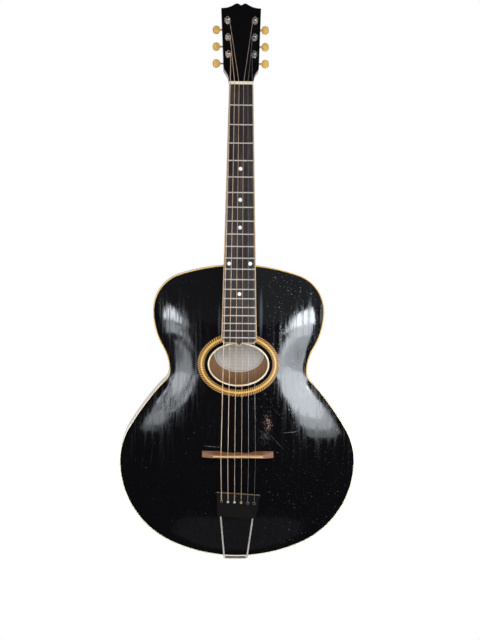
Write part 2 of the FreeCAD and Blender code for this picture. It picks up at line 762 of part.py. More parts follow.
nut_back = dim("nut_thickness")
SHAFT_SPANS = 20
shaft_step = (dim("joint_from_nut") + nut_back + 5) / SHAFT_SPANS
shaft_stations = [step * shaft_step - nut_back for step in range(SHAFT_SPANS + 1)]
shaft_sections = [neck_section(-station, board_half(max(0, station)), under_board,
                               neck_depth(max(0, station))) for station in shaft_stations]
shaft = loft("neck_shaft", shaft_sections, ruled=False)
shaft.Placement = neck_frame
throat_rise = 9.0
throat_front = 8.0
throat_spread = 1.2
throat = loft("neck_throat", [
    neck_section(nut_back - 1, dim("nut_width") / 2, under_board, dim("neck_depth")),
    neck_section(throat_rise, dim("nut_width") / 2 + throat_spread, throat_front,
                 under_board + dim("neck_depth") - throat_front)], ruled=True)
throat.Placement = neck_frame

HEAD_NECK = (dim("nut_width") / 2, 0)
HEAD_FLARE = (23.4, 12)
HEAD_SHOULDER = (28.2, 20.4)
HEAD_BEND = (29.6, 22.8)
HEAD_SIDE = (30.2, 26)
HEAD_CORNER = (34.2, 134.6)
HEAD_DIP = (20, 137.0)
HEAD_CROWN = (10.5, 142.2)
HEAD_HUMP = (7.2, 143.4)
HEAD_SLOPE = (3.4, 142)
HEAD_NOTCH = (0, 140)


def head_outline(start):
    """Edges of the peghead's face in its own plane, from a height above the nut's rear edge."""
    edges = []
    for side in (1, -1):
        def place(point):
            return Vector(side * point[0], point[1], 0)
        foot = Vector(side * HEAD_NECK[0], start, 0)
        edges.append(Part.Arc(foot, place(HEAD_FLARE), place(HEAD_SHOULDER)))
        edges.append(Part.Arc(place(HEAD_SHOULDER), place(HEAD_BEND), place(HEAD_SIDE)))
        edges.append(Part.LineSegment(place(HEAD_SIDE), place(HEAD_CORNER)))
        edges.append(Part.Arc(place(HEAD_CORNER), place(HEAD_DIP), place(HEAD_CROWN)))
        edges.append(Part.Arc(place(HEAD_CROWN), place(HEAD_HUMP), place(HEAD_SLOPE)))
        edges.append(Part.LineSegment(place(HEAD_SLOPE), place(HEAD_NOTCH)))
    edges.append(Part.LineSegment(Vector(HEAD_NECK[0], start, 0), Vector(-HEAD_NECK[0], start, 0)))
    return edges


head_wood = new_body("head_wood", head_frame)
pad(head_wood, draw(head_wood, "head_outline", "XZ_Plane", head_outline(0), -dim("veneer_thickness")),
    "head_thickness", backward=True)

tenon = box("tenon", body_frame.multiply(at(-dim("tenon_half"), tenon_top,
                                            body_top - dim("tenon_length"))),
            Length="2 * tenon_half", Width="tenon_bottom - tenon_top", Height="tenon_length + 0.4")
envelope = prism("envelope", outline_wire(-glue, front_limit - 20), back_limit - front_limit + 20)
envelope.Placement = body_frame
HEEL_CUT = 200.0
under_heel = doc.addObject("Part::Box", "under_heel")
under_heel.Length = HEEL_CUT
under_heel.Width = HEEL_CUT
under_heel.Height = HEEL_CUT
heel_corner = at(-HEEL_CUT / 2, dim("heel_bottom"), body_top - HEEL_CUT / 4)
under_heel.Placement = body_frame.multiply(heel_corner)
shaft_butted = combine("Cut", "shaft_butted", shaft, envelope)
shaft_capped = combine("Cut", "shaft_capped", shaft_butted, under_heel)
neck_wood = fuse_all("neck_wood", [shaft_capped, throat, head_wood, tenon])

# Places of the six tuners and names of the six strings
STRINGS = [
    ("low_e", 1.35, -1, 0),
    ("a", 1.07, -1, 1),
    ("d", 0.81, -1, 2),
    ("g", 0.61, 1, 2),
    ("b", 0.41, 1, 1),
    ("high_e", 0.30, 1, 0),
]
head_back = dim("veneer_thickness") + dim("head_thickness")


def post_half(height):
    """Half distance of a pair of posts at a height above the nut's rear edge."""
    return dim("post_low_half") + dim("post_flare") * (height - dim("post_low")) / dim("post_step")


def post_place(side, pair):
    """A post's place on the peghead's face."""
    height = dim("post_low") + dim("post_step") * pair
    return Vector(side * post_half(height), 0, height)


post_frames = [head_frame.multiply(Placement(post_place(side, pair), Rotation()))
               for _, _, side, pair in STRINGS]

# Bushings in the peghead's face, and the stepped holes that they sit in
room = dim("running_gap")
post_bore = dim("post_radius") + room


def turned(points):
    """A solid turned about Y from corners given as radius and depth."""
    corners = [Vector(radius, depth, 0) for radius, depth in points]
    face = Part.Face(Part.makePolygon(corners + corners[:1]))
    return face.revolve(Vector(), Y_AXIS, 360)


bushing_length = dim("bushing_length")
bushing = turned([(post_bore, -dim("bushing_lip")), (dim("bushing_flange") - 0.6, -dim("bushing_lip")),
                  (dim("bushing_flange"), -dim("bushing_lip") / 2), (dim("bushing_flange"), 0),
                  (dim("bushing_sleeve"), 0), (dim("bushing_sleeve"), bushing_length),
                  (post_bore, bushing_length)])
group("tuner_bushings", bushing, post_frames)

sleeve_hole = Part.makeCylinder(dim("bushing_sleeve") + glue, bushing_length + glue + 2,
                                Vector(0, -2, 0), Y_AXIS)
post_hole = Part.makeCylinder(dim("post_radius") + 0.5, 30, Vector(0, 0, 0), Y_AXIS)
stepped_hole = sleeve_hole.fuse(post_hole)

# Tuner plates with their bearing lugs, one on each side of the peghead's back
plate_back = head_back + dim("tuner_plate")
worm_depth = plate_back + dim("gear_stand") + dim("gear_thickness") / 2
lug_near = dim("worm_length") / 2 + 0.2
lug_far = lug_near + dim("lug_thickness")
plate_half = dim("tuner_plate_width") / 2
plate_foot = dim("post_low") - dim("tuner_plate_foot")
plate_head = dim("post_low") + 2 * dim("post_step") + dim("tuner_plate_end")
PLATE_SCREW_PLACES = [dim("post_low") - 14.5, dim("post_low") + 13,
                      dim("post_low") + dim("post_step") + 13,
                      dim("post_low") + 2 * dim("post_step") + 9.3]
plate_screw_radius = 1.0


def make_tuner_plate(label, side):
    """A plate for three tuners, with a pair of lugs for each worm shaft."""
    body = new_body(label, head_frame)
    corners = []
    for height, hand in ((plate_foot, -1), (plate_foot, 1), (plate_head, 1), (plate_head, -1)):
        corners.append((side * (post_half(height) + hand * plate_half), height))
    pad(body, draw(body, label + "_outline", "XZ_Plane", outline(corners), -head_back),
        "tuner_plate", backward=True)
    lugs = []
    shaft_holes = []
    post_holes = []
    for pair in range(3):
        place = post_place(side, pair)
        worm_height = place.z - dim("worm_distance")
        for hand in (-1, 1):
            near, far = place.x + hand * lug_near, place.x + hand * lug_far
            low, high = worm_height - dim("lug_width") / 2, worm_height + dim("lug_width") / 2
            lugs += outline([(near, low), (far, low), (far, high), (near, high)])
        shaft_holes += ring(worm_depth, worm_height, dim("shaft_radius") + room)
        post_holes += ring(place.x, place.z, post_bore)
    pad(body, draw(body, label + "_lugs", "XZ_Plane", lugs, -head_back),
        "tuner_plate + gear_stand + gear_thickness / 2 + shaft_radius + 1.4", backward=True)
    drill(body, draw(body, label + "_shaft_holes", "YZ_Plane", shaft_holes), midplane=True)
    for height in PLATE_SCREW_PLACES:
        post_holes += ring(side * post_half(height), height, plate_screw_radius + SCREW_ROOM)
    drill(body, draw(body, label + "_post_holes", "XZ_Plane", post_holes), midplane=True)
    return body


tuner_plates = doc.addObject("Part::Compound", "tuner_plates")
tuner_plates.Links = [make_tuner_plate("left_tuner_plate", -1), make_tuner_plate("right_tuner_plate", 1)]
keep(tuner_plates, "tuner_plates")


# Screws, turned about Y with the head's seat at zero and the shank towards -Y
def screw(head_radius, head_height, radius, length):
    """A round-headed wood screw."""
    return turned([(0, -length), (radius * 0.4, -length), (radius, -length + 2), (radius, 0),
                   (head_radius, 0), (head_radius, head_height * 0.4),
                   (head_radius * 0.6, head_height * 0.9), (0, head_height)])


plate_screw = screw(2.1, 1.2, plate_screw_radius, 9)
plate_screw_frames = [head_frame.multiply(at(side * post_half(height), plate_back, height))
                      for side in (-1, 1) for height in PLATE_SCREW_PLACES]
group("tuner_plate_screws", plate_screw, plate_screw_frames)
pilot_hole = Part.makeCylinder(plate_screw_radius + SCREW_ROOM, 12, Vector(0, 1, 0), -Y_AXIS)


def placed(shape, frames):
    """Copies of a shape in several frames, as one compound."""
    copies = []
    for frame in frames:
        piece = shape.copy()
        piece.Placement = frame
        copies.append(piece)
    return Part.makeCompound(copies)


post_holes = solid("post_holes", placed(stepped_hole, post_frames))
pilot_holes = solid("pilot_holes", placed(pilot_hole, plate_screw_frames))
neck_bored = combine("Cut", "neck_bored", neck_wood, post_holes)
keep(combine("Cut", "neck", neck_bored, pilot_holes), "neck")

veneer_start = 0.5
veneer_body = new_body("veneer_body", head_frame)
pad(veneer_body, draw(veneer_body, "veneer_outline", "XZ_Plane", head_outline(veneer_start)),
    "veneer_thickness", backward=True)
veneer_holes = solid("veneer_holes", placed(stepped_hole, post_frames))
keep(combine("Cut", "peghead_veneer", veneer_body, veneer_holes), "peghead_veneer")

# Fingerboard, its binding, frets and dots
board_length = dim("board_length")
end_half = dim("board_end_width") / 2
corner = dim("board_corner")
point_half = dim("board_point_half")
BOARD_CORNERS = [
    (dim("nut_width") / 2, 0),
    (end_half, corner - board_length),
    (end_half - corner, -board_length),
    (point_half, -board_length),
    (0, -board_length - dim("board_point")),
    (-point_half, -board_length),
    (corner - end_half, -board_length),
    (-end_half, corner - board_length),
    (-dim("nut_width") / 2, 0),
]


def inset_corners(corners, inset):
    """Corners of an open outline, run clockwise, moved inward; its two ends stay on their line."""
    lines = []
    for (x0, z0), (x1, z1) in zip(corners, corners[1:]):
        length = math.hypot(x1 - x0, z1 - z0)
        inward_x, inward_z = (z1 - z0) / length, (x0 - x1) / length
        lines.append((x0 + inward_x * inset, z0 + inward_z * inset,
                      (x1 - x0) / length, (z1 - z0) / length))
    level = (0, corners[0][1], 1, 0)
    moved = []
    for (x0, z0, u0, w0), (x1, z1, u1, w1) in zip([level] + lines, lines + [level]):
        cross = u0 * w1 - w0 * u1
        reach = ((x1 - x0) * w1 - (z1 - z0) * u1) / cross
        moved.append((x0 + u0 * reach, z0 + w0 * reach))
    return moved


inner_corners = inset_corners(BOARD_CORNERS, dim("board_binding"))
board_body = new_body("board_body", neck_frame)
pad(board_body, draw(board_body, "board_outline", "XZ_Plane", outline(inner_corners)),
    "board_thickness", backward=True)
board_edge = new_body("fingerboard_binding", neck_frame)
pad(board_edge, draw(board_edge, "board_edge_outline", "XZ_Plane",
                     outline(BOARD_CORNERS + inner_corners[::-1])), "board_thickness", backward=True)
keep(board_edge, "fingerboard_binding")

FRET_COUNT = 20
SINGLE_DOTS = [5, 7, 9, 15]
TWIN_DOT = 12


def fret_place(number):
    """Distance of a fret from the nut, in equal temperament."""
    return dim("scale_length") * (1 - 2 ** (-number / 12))


def fret_bar(number, crown):
    """A fret across the board between its bindings: with its crown, or its tang alone."""
    half = board_half(fret_place(number)) - dim("board_binding") - glue
    wide, deep, tang = dim("fret_width") / 2, dim("tang_depth"), dim("tang_width") / 2
    foot = [Vector(-half, 0, -tang), Vector(-half, deep, -tang), Vector(-half, deep, tang),
            Vector(-half, 0, tang)]
    if crown:
        left, right = Vector(-half, 0, -wide), Vector(-half, 0, wide)
        dome = Part.Arc(right, Vector(-half, -dim("fret_height"), 0), left)
        wire = Part.Wire([dome.toShape()] + Part.makePolygon([left] + foot + [right]).Edges)
    else:
        wire = Part.makePolygon(foot + foot[:1])
    bar = Part.Face(wire).extrude(Vector(2 * half, 0, 0))
    bar.translate(Vector(0, 0, -fret_place(number)))
    return bar


fret_numbers = range(1, FRET_COUNT + 1)
fret_wires = Part.makeCompound([fret_bar(number, True) for number in fret_numbers])
keep(solid("frets", fret_wires, neck_frame), "frets")
fret_cuts = Part.makeCompound([fret_bar(number, False) for number in fret_numbers])
fret_slots = solid("fret_slots", fret_cuts, neck_frame)

dot_places = [(0, number) for number in SINGLE_DOTS]
dot_places += [(side * dim("twin_dot_half"), TWIN_DOT) for side in (-1, 1)]
dot = Part.makeCylinder(dim("dot_radius"), dim("dot_depth"), Vector(), Y_AXIS)
dot_frames = [neck_frame.multiply(at(x, 0, -(fret_place(number - 1) + fret_place(number)) / 2))
              for x, number in dot_places]
dots = group("position_dots", dot, dot_frames)
board_slotted = combine("Cut", "board_slotted", board_body, fret_slots)
keep(combine("Cut", "fingerboard", board_slotted, dots), "fingerboard")

# Riser under the fingerboard's free end, fitted to the top
riser_body = new_body("riser_body", neck_frame)
inset = dim("riser_inset")
riser_start, riser_end = dim("riser_start"), dim("riser_end")
start_half, riser_half = board_half(riser_start) - inset, board_half(riser_end) - inset
riser_corners = [(start_half, -riser_start), (riser_half, -riser_end),
                 (-riser_half, -riser_end), (-start_half, -riser_start)]
riser_sketch = draw(riser_body, "riser_outline", "XZ_Plane", outline(riser_corners), -under_board)
pad(riser_body, riser_sketch, "board_over_rim", backward=True)
top_mass = solid("top_mass", carved(-glue, -dim("top_arch"), 60))
top_mass.Placement = body_frame
keep(combine("Cut", "fingerboard_riser", riser_body, top_mass), "fingerboard_riser")

# Bridge on two feet, fitted to the top, with its saddle let in
saddle_height = neck_frame.multVec(
    Vector(0, 0, -dim("scale_length") - dim("bridge_compensation"))).z - tail_corner.z
bridge_frame = body_frame.multiply(at(0, 0, saddle_height))
crest = -dim("saddle_height")
bridge_top = crest + dim("saddle_stand")
bridge_foot = -6.0
tail_side = -dim("bridge_tail_side")
nut_side = tail_side + dim("bridge_foot_width")
bridge_body = new_body("bridge_body", bridge_frame)
bridge_section = outline([(bridge_top, tail_side), (bridge_top, tail_side + dim("bridge_top_width")),
                          (bridge_foot, nut_side), (bridge_foot, tail_side)])
pad(bridge_body, draw(bridge_body, "bridge_section", "YZ_Plane", bridge_section), "bridge_length",
    midplane=True)
level_half, tip_half = dim("bridge_top_length") / 2, dim("bridge_length") / 2
tip_depth = -top_rise(tip_half, saddle_height) - dim("bridge_tip")
ramps = []
for side in (-1, 1):
    inner, outer = side * level_half, side * tip_half
    ramps += outline([(inner, bridge_top), (outer, tip_depth), (outer + side * OVERCUT, tip_depth),
                      (outer + side * OVERCUT, bridge_top - OVERCUT), (inner, bridge_top - OVERCUT)])
drill(bridge_body, draw(bridge_body, "bridge_ramps", "XY_Plane", ramps), midplane=True)
arch_half = dim("bridge_arch_half")
arch_top = -top_rise(0, saddle_height) - dim("bridge_arch")
arch_spring = -top_rise(arch_half, saddle_height)
arch_floor = bridge_foot + OVERCUT
ARCH_CROWN = 0.6
cusp = Vector(0, arch_top + dim("bridge_cusp"), 0)
arch_edges = []
for side in (-1, 1):
    spring = Vector(side * arch_half, arch_spring, 0)
    arch_edges.append(Part.Arc(spring, Vector(side * arch_half * ARCH_CROWN, arch_top, 0), cusp))
    arch_edges.append(Part.LineSegment(spring, Vector(side * arch_half, arch_floor, 0)))
arch_edges.append(Part.LineSegment(Vector(-arch_half, arch_floor, 0), Vector(arch_half, arch_floor, 0)))
drill(bridge_body, draw(bridge_body, "bridge_arch", "XY_Plane", arch_edges), midplane=True)

saddle_body = new_body("bridge_saddle", bridge_frame)
saddle_half = dim("saddle_thickness") / 2
saddle_foot = bridge_top + dim("saddle_seat")
saddle_shoulder = crest + saddle_half
saddle_section = [Part.Arc(Vector(saddle_shoulder, saddle_half, 0), Vector(crest, 0, 0),
                           Vector(saddle_shoulder, -saddle_half, 0))]
saddle_corners = [Vector(saddle_shoulder, -saddle_half, 0), Vector(saddle_foot, -saddle_half, 0),
                  Vector(saddle_foot, saddle_half, 0), Vector(saddle_shoulder, saddle_half, 0)]
saddle_section += [Part.LineSegment(a, b) for a, b in zip(saddle_corners, saddle_corners[1:])]
pad(saddle_body, draw(saddle_body, "saddle_section", "YZ_Plane", saddle_section), "saddle_length",
    midplane=True)
keep(saddle_body, "bridge_saddle")
bridge_slotted = combine("Cut", "bridge_slotted", bridge_body, saddle_body)
keep(combine("Cut", "bridge", bridge_slotted, top_mass), "bridge")

# Trapeze tailpiece in the plane from its hinge to just behind the strings at the saddle
PLANE_BEHIND_STRINGS = 2.8
hinge_up, hinge_front = dim("hinge_place"), dim("hinge_front")
tail_tilt = math.degrees(math.atan2(dim("saddle_height") + hinge_front - PLANE_BEHIND_STRINGS,
                                    saddle_height - hinge_up))
tail_frame = body_frame.multiply(Placement(Vector(hinge_x, hinge_front, hinge_up),
                                           Rotation(X_AXIS, tail_tilt)))
lean = Rotation(Y_AXIS, dim("plate_lean"))
plate_middle = (dim("plate_low") + dim("plate_high")) / 2
PLATE_CORNER = 1.2
plate_x = 1.5
plate_frame = tail_frame.multiply(Placement(Vector(plate_x, 0, plate_middle), lean))
plate_rise = (dim("plate_high") - dim("plate_low")) / 2
tail_plate = new_body("tail_plate", plate_frame)
plate_corners = [(-dim("plate_low_half"), -plate_rise), (dim("plate_low_half"), -plate_rise),
                 (dim("plate_high_half"), plate_rise), (-dim("plate_high_half"), plate_rise)]
plate_pad = pad(tail_plate, draw(tail_plate, "tail_plate_outline", "XZ_Plane", outline(plate_corners)),
                "plate_thickness", midplane=True)
doc.recompute()
plate_rounds = tail_plate.newObject("PartDesign::Fillet", "tail_plate_rounds")
upright = [f"Edge{count}" for count, edge in enumerate(plate_pad.Shape.Edges, start=1)
           if abs(edge.tangentAt(edge.FirstParameter).y) > 0.9]
plate_rounds.Base = (plate_pad, upright)
plate_rounds.Radius = PLATE_CORNER

pin_row = dim("pin_row") - plate_middle
plate_face = -dim("plate_thickness") / 2
pin_lift = 1.6
pin_seat = plate_face - pin_lift
shank, head = dim("pin_radius"), dim("pin_head")
pin = turned([(0, -plate_face), (shank, -plate_face), (shank, pin_seat), (head, pin_seat),
              (head, pin_seat - 0.8), (head * 0.6, pin_seat - 1.6), (0, pin_seat - 1.9)])
pin_xs = [dim("tail_spread") * (count / 5 - 0.5) for count in range(6)]
pin_frames = [plate_frame.multiply(at(x, 0, pin_row)) for x in pin_xs]
pins = group("tailpiece_pins", pin, pin_frames)


def bent_wire(points, radii):
    """Edges of straight runs through the points, with an arc of the given radius at each bend."""
    edges = []
    start = points[0]
    for before, at_bend, after, radius in zip(points, points[1:], points[2:], radii):
        into, out = at_bend - before, after - at_bend
        into, out = into * (1 / into.Length), out * (1 / out.Length)
        cut = radius * math.tan(into.getAngle(out) / 2)
        first, last = at_bend - into * cut, at_bend + out * cut
        edges.append(Part.LineSegment(start, first).toShape())
        edges.append(Part.Arc(first, arc_middle(first, into, last), last).toShape())
        start = last
    edges.append(Part.LineSegment(start, points[-1]).toShape())
    return edges


def tube(edges, radius):
    """A round wire along tangent edges."""
    first = edges[0]
    start = first.valueAt(first.FirstParameter)
    heading = first.tangentAt(first.FirstParameter)
    section = Part.Wire(Part.Circle(start, heading, radius).toShape())
    return Part.Wire(edges).makePipeShell([section], True, False)


wire_radius = dim("frame_wire") / 2
foot_half, wire_half = dim("frame_foot_half"), dim("frame_head_half")
wire_seat = 8.0


def wire_head(side):
    """Where a wire of the frame ends inside the plate, in the hinge's frame."""
    in_plate = Placement(Vector(plate_x, 0, plate_middle), lean)
    return in_plate.multVec(Vector(side * wire_half, 0, wire_seat - plate_rise))


frame_points = [wire_head(-1), Vector(-foot_half, 0, 0), Vector(foot_half, 0, 0), wire_head(1)]
FRAME_BENDS = [2.0, 2.0]
frame_edges = bent_wire(frame_points, FRAME_BENDS)
keep(solid("tailpiece_frame", tube(frame_edges, wire_radius), tail_frame), "tailpiece_frame")
wire_holes = solid("wire_holes", tube(frame_edges, wire_radius + SCREW_ROOM), tail_frame)
pin_bore = Part.makeCylinder(shank + SCREW_ROOM, 2 * dim("plate_thickness"),
                             Vector(0, -dim("plate_thickness"), 0), Y_AXIS)
pin_holes = solid("pin_holes", placed(pin_bore, pin_frames))
plate_wired = combine("Cut", "plate_wired", tail_plate, wire_holes)
keep(combine("Cut", "tailpiece_plate", plate_wired, pin_holes), "tailpiece_plate")

# Bracket on the tail, its rolled knuckle round the frame's axle
knuckle_radius = wire_radius + room + dim("bracket_thickness")
hinge_axis = body_frame.multiply(at(hinge_x - dim("bracket_half"), hinge_front, hinge_up))
across = Rotation(Y_AXIS, 90)
knuckle = doc.addObject("Part::Cylinder", "knuckle")
knuckle.Radius = knuckle_radius
bind(knuckle, Height="2 * bracket_half")
knuckle.Placement = hinge_axis.multiply(Placement(Vector(), across))
axle_bore = doc.addObject("Part::Cylinder", "axle_bore")
bind(axle_bore, Radius="frame_wire / 2 + running_gap", Height="2 * bracket_half + 2")
axle_bore.Placement = hinge_axis.multiply(Placement(Vector(-1, 0, 0), across))
bracket_sheet = box("bracket_sheet",
                    body_frame.multiply(at(hinge_x - dim("bracket_half"), hinge_front,
                                           -dim("bracket_thickness") - 2 * glue)),
                    Length="2 * bracket_half", Width="bracket_drop", Height="bracket_thickness")
bracket_whole = combine("Fuse", "bracket_whole", knuckle, bracket_sheet)
bracket_bored = combine("Cut", "bracket_bored", bracket_whole, axle_bore)
bracket_holes = solid("bracket_holes", tail_screw_holes, body_frame)
keep(combine("Cut", "tailpiece_bracket", bracket_bored, bracket_holes), "tailpiece_bracket")
tail_screw = screw(3.1, 1.7, tail_screw_radius, tail_screw_length)
sheet_face = -dim("bracket_thickness") - 2 * glue
tail_screw_frames = [body_frame.multiply(Placement(Vector(hinge_x + x, y, sheet_face),
                                                   Rotation(X_AXIS, -90))) for x, y in TAIL_SCREWS]
group("bracket_screws", tail_screw, tail_screw_frames)

# Tuners: a button and worm on one shaft turn a gear and post
gear_seat = plate_back + dim("gear_stand")
thread_pitch = 2 * math.pi * dim("gear_pitch_radius") / dim("gear_teeth")
THREAD_TURNS = 3
THREAD_FOOT, THREAD_TIP = 0.52, 0.25
TOOTH_FOOT, TOOTH_TIP = 0.62, 0.24
SHAFT_TAIL = 0.4
SHAFT_IN_BUTTON = 3
PEEN_SPREAD = 1.45


def make_gear(label, frame):
    """A gear squared on to its post, one tooth pointing at the worm."""
    body = new_body(label, frame.multiply(at(0, gear_seat, 0)))
    root = dim("gear_pitch_radius") - dim("gear_dedendum")
    tip = dim("gear_pitch_radius") + dim("gear_addendum")
    count = int(dim("gear_teeth"))
    corners = []
    for tooth in range(count):
        middle = 2 * math.pi * tooth / count - math.pi / 2
        for radius, shift in ((root, -TOOTH_FOOT), (tip, -TOOTH_TIP),
                              (tip, TOOTH_TIP), (root, TOOTH_FOOT)):
            turn = middle + shift / radius
            corners.append((radius * math.cos(turn), radius * math.sin(turn)))
    half = dim("gear_square") / 2
    hole = outline([(-half, -half), (half, -half), (half, half), (-half, half)])
    pad(body, draw(body, label + "_teeth", "XZ_Plane", outline(corners) + hole), "gear_thickness",
        backward=True)
    keep(body, label)


def make_post(label, frame):
    """A turned post with a string hole near its tip and a squared, peened end."""
    body = new_body(label, frame)
    radius, tip = dim("post_radius"), -dim("post_rise")
    collar = dim("post_radius") + 1.2
    section = outline([(0, tip), (radius - 0.8, tip), (radius, tip + 0.8), (radius, tip + 2),
                       (radius - 0.35, tip + 2.6), (radius - 0.35, tip + 4.4), (radius, tip + 5),
                       (radius, plate_back + 0.2), (collar, plate_back + 0.2), (collar, gear_seat),
                       (0, gear_seat)])
    turning = body.newObject("PartDesign::Revolution", label + "_turned")
    turning.Profile = draw(body, label + "_section", "XY_Plane", section)
    turning.ReferenceAxis = (origin_feature(body, "Y_Axis"), [""])
    turning.Angle = 360
    half = dim("gear_square") / 2
    square = outline([(-half, -half), (half, -half), (half, half), (-half, half)])
    square_end = draw(body, label + "_square", "XZ_Plane", square, -gear_seat)
    pad(body, square_end, "gear_thickness", backward=True)
    peen_seat = gear_seat + dim("gear_thickness")
    peen = draw(body, label + "_peen", "XZ_Plane", ring(0, 0, half * PEEN_SPREAD), -peen_seat)
    pad(body, peen, "gear_thickness / 5", backward=True)
    eye = ring(tip + 3.5, 0, dim("post_hole"))
    drill(body, draw(body, label + "_eye", "YZ_Plane", eye), midplane=True)
    keep(body, label)


def make_worm_shaft(label, frame, side, pair):
    """A shaft with a three-turn worm between the bearing lugs, running out to its button."""
    body = new_body(label, frame.multiply(at(0, worm_depth, -dim("worm_distance"))))
    start = -side * (lug_far + SHAFT_TAIL)
    bar = draw(body, label + "_bar", "YZ_Plane", ring(0, 0, dim("shaft_radius")), start)
    pad(body, bar, f"worm_length / 2 + lug_thickness + 0.2 + {SHAFT_TAIL} + button_place"
        f" + {SHAFT_IN_BUTTON} - post_low_half - post_flare * {pair}", backward=side < 0)
    core = draw(body, label + "_core", "YZ_Plane", ring(0, 0, dim("worm_core")))
    pad(body, core, "worm_length", midplane=True)
    first = -THREAD_TURNS / 2 * thread_pitch
    foot = dim("worm_core") - 0.1
    section = outline([(first - THREAD_FOOT, foot), (first + THREAD_FOOT, foot),
                       (first + THREAD_TIP, dim("worm_outer")), (first - THREAD_TIP, dim("worm_outer"))])
    thread = body.newObject("PartDesign::AdditiveHelix", label + "_thread")
    thread.Profile = draw(body, label + "_thread_section", "XZ_Plane", section)
    thread.ReferenceAxis = (origin_feature(body, "X_Axis"), [""])
    thread.Mode = 0
    pitch = "2 * pi * gear_pitch_radius / gear_teeth"
    bind(thread, Pitch=pitch, Height=f"{THREAD_TURNS} * {pitch}")
    keep(body, label)


def make_button(label, side, pair):
    """An oval button with a short collar, bored for its shaft."""
    height = post_place(side, pair).z - dim("worm_distance")
    outward = Rotation(Z_AXIS, 90 - 90 * side)
    place = Vector(side * dim("button_place"), worm_depth, height)
    frame = head_frame.multiply(Placement(place, outward))
    knob = doc.addObject("Part::Ellipsoid", label + "_oval")
    bind(knob, Radius1="button_half_width", Radius2="button_half_length",
         Radius3="button_half_thickness")
    knob.Placement = frame
    inward = Rotation(Y_AXIS, -90)
    collar = cylinder(label + "_collar", "shaft_radius + 0.8", "button_half_length + 0.8",
                      frame.multiply(Placement(Vector(), inward)))
    bore_start = Vector(SHAFT_IN_BUTTON + SCREW_ROOM, 0, 0)
    bore = cylinder(label + "_bore", f"shaft_radius + {SCREW_ROOM}", "button_half_length * 3",
                    frame.multiply(Placement(bore_start, inward)))
    keep(combine("Cut", label, combine("Fuse", label + "_whole", knob, collar), bore), label)


for (name, _, side, pair), frame in zip(STRINGS, post_frames):
    make_post("post_" + name, frame)
    make_gear("gear_" + name, frame)
    make_worm_shaft("worm_shaft_" + name, frame, side, pair)
    make_button("button_" + name, side, pair)

# Strings: pin, saddle, nut and then the turns round the post
NUT_BEND = 1.5
NUT_BEND_RADIUS = 6.0
BUSHING_ROOM = 0.5
SLOT_ROOM = 0.2
SLOT_CLEAR = 6.0
SLOT_LAP = 0.3


def coil_edges(nut_bend, frame, radius, thickness):
    """Straight run from the nut, the turns round a post and a short straight end."""
    home = frame.inverse().multVec(nut_bend)
    level = -dim("bushing_lip") - BUSHING_ROOM - thickness / 2
    pitch = thickness + dim("coil_gap")
    away = math.hypot(home.x, home.z)
    toward = math.atan2(home.z, home.x)
    swing = math.acos(radius / away)
    inner = min((toward + swing, toward - swing), key=lambda turn: abs(frame.multVec(
        Vector(radius * math.cos(turn), 0, radius * math.sin(turn))).x))
    touch = Vector(radius * math.cos(inner), level, radius * math.sin(inner))
    lead = touch - home
    sense = 1 if touch.x * lead.z - touch.z * lead.x > 0 else -1
    drop = -pitch / (2 * math.pi)
    stops = []
    for quarter in range(int(4 * dim("coil_turns")) + 1):
        turn = quarter * math.pi / 2
        spin = inner + sense * turn
        spot = Vector(radius * math.cos(spin), level + drop * turn, radius * math.sin(spin))
        heading = Vector(-sense * radius * math.sin(spin), drop, sense * radius * math.cos(spin))
        stops.append((spot, heading * (1 / heading.Length)))
    stops[0] = (touch, lead * (1 / lead.Length))
    path = []
    for (start, heading), (finish, end_heading) in zip(stops, stops[1:]):
        for arc in biarc(start, heading, finish, end_heading):
            path.append(Part.Arc(*[frame.multVec(point) for point, _ in arc]).toShape())
    last, heading = stops[-1]
    tail = last + heading * thickness
    path.append(Part.LineSegment(frame.multVec(last), frame.multVec(tail)).toShape())
    return frame.multVec(touch), path


def least_gap(edges, thickness, loop):
    """Smallest room between turns, on points more than half a loop apart along the path."""
    points = []
    travelled = 0.0
    for edge in edges:
        steps = 12
        for step in range(steps):
            share = step / steps
            at_share = edge.FirstParameter + (edge.LastParameter - edge.FirstParameter) * share
            points.append((travelled + edge.Length * share, edge.valueAt(at_share)))
        travelled += edge.Length
    nearest = min((a - b).Length for place, a in points for other, b in points
                  if other - place > loop / 2)
    return nearest - thickness


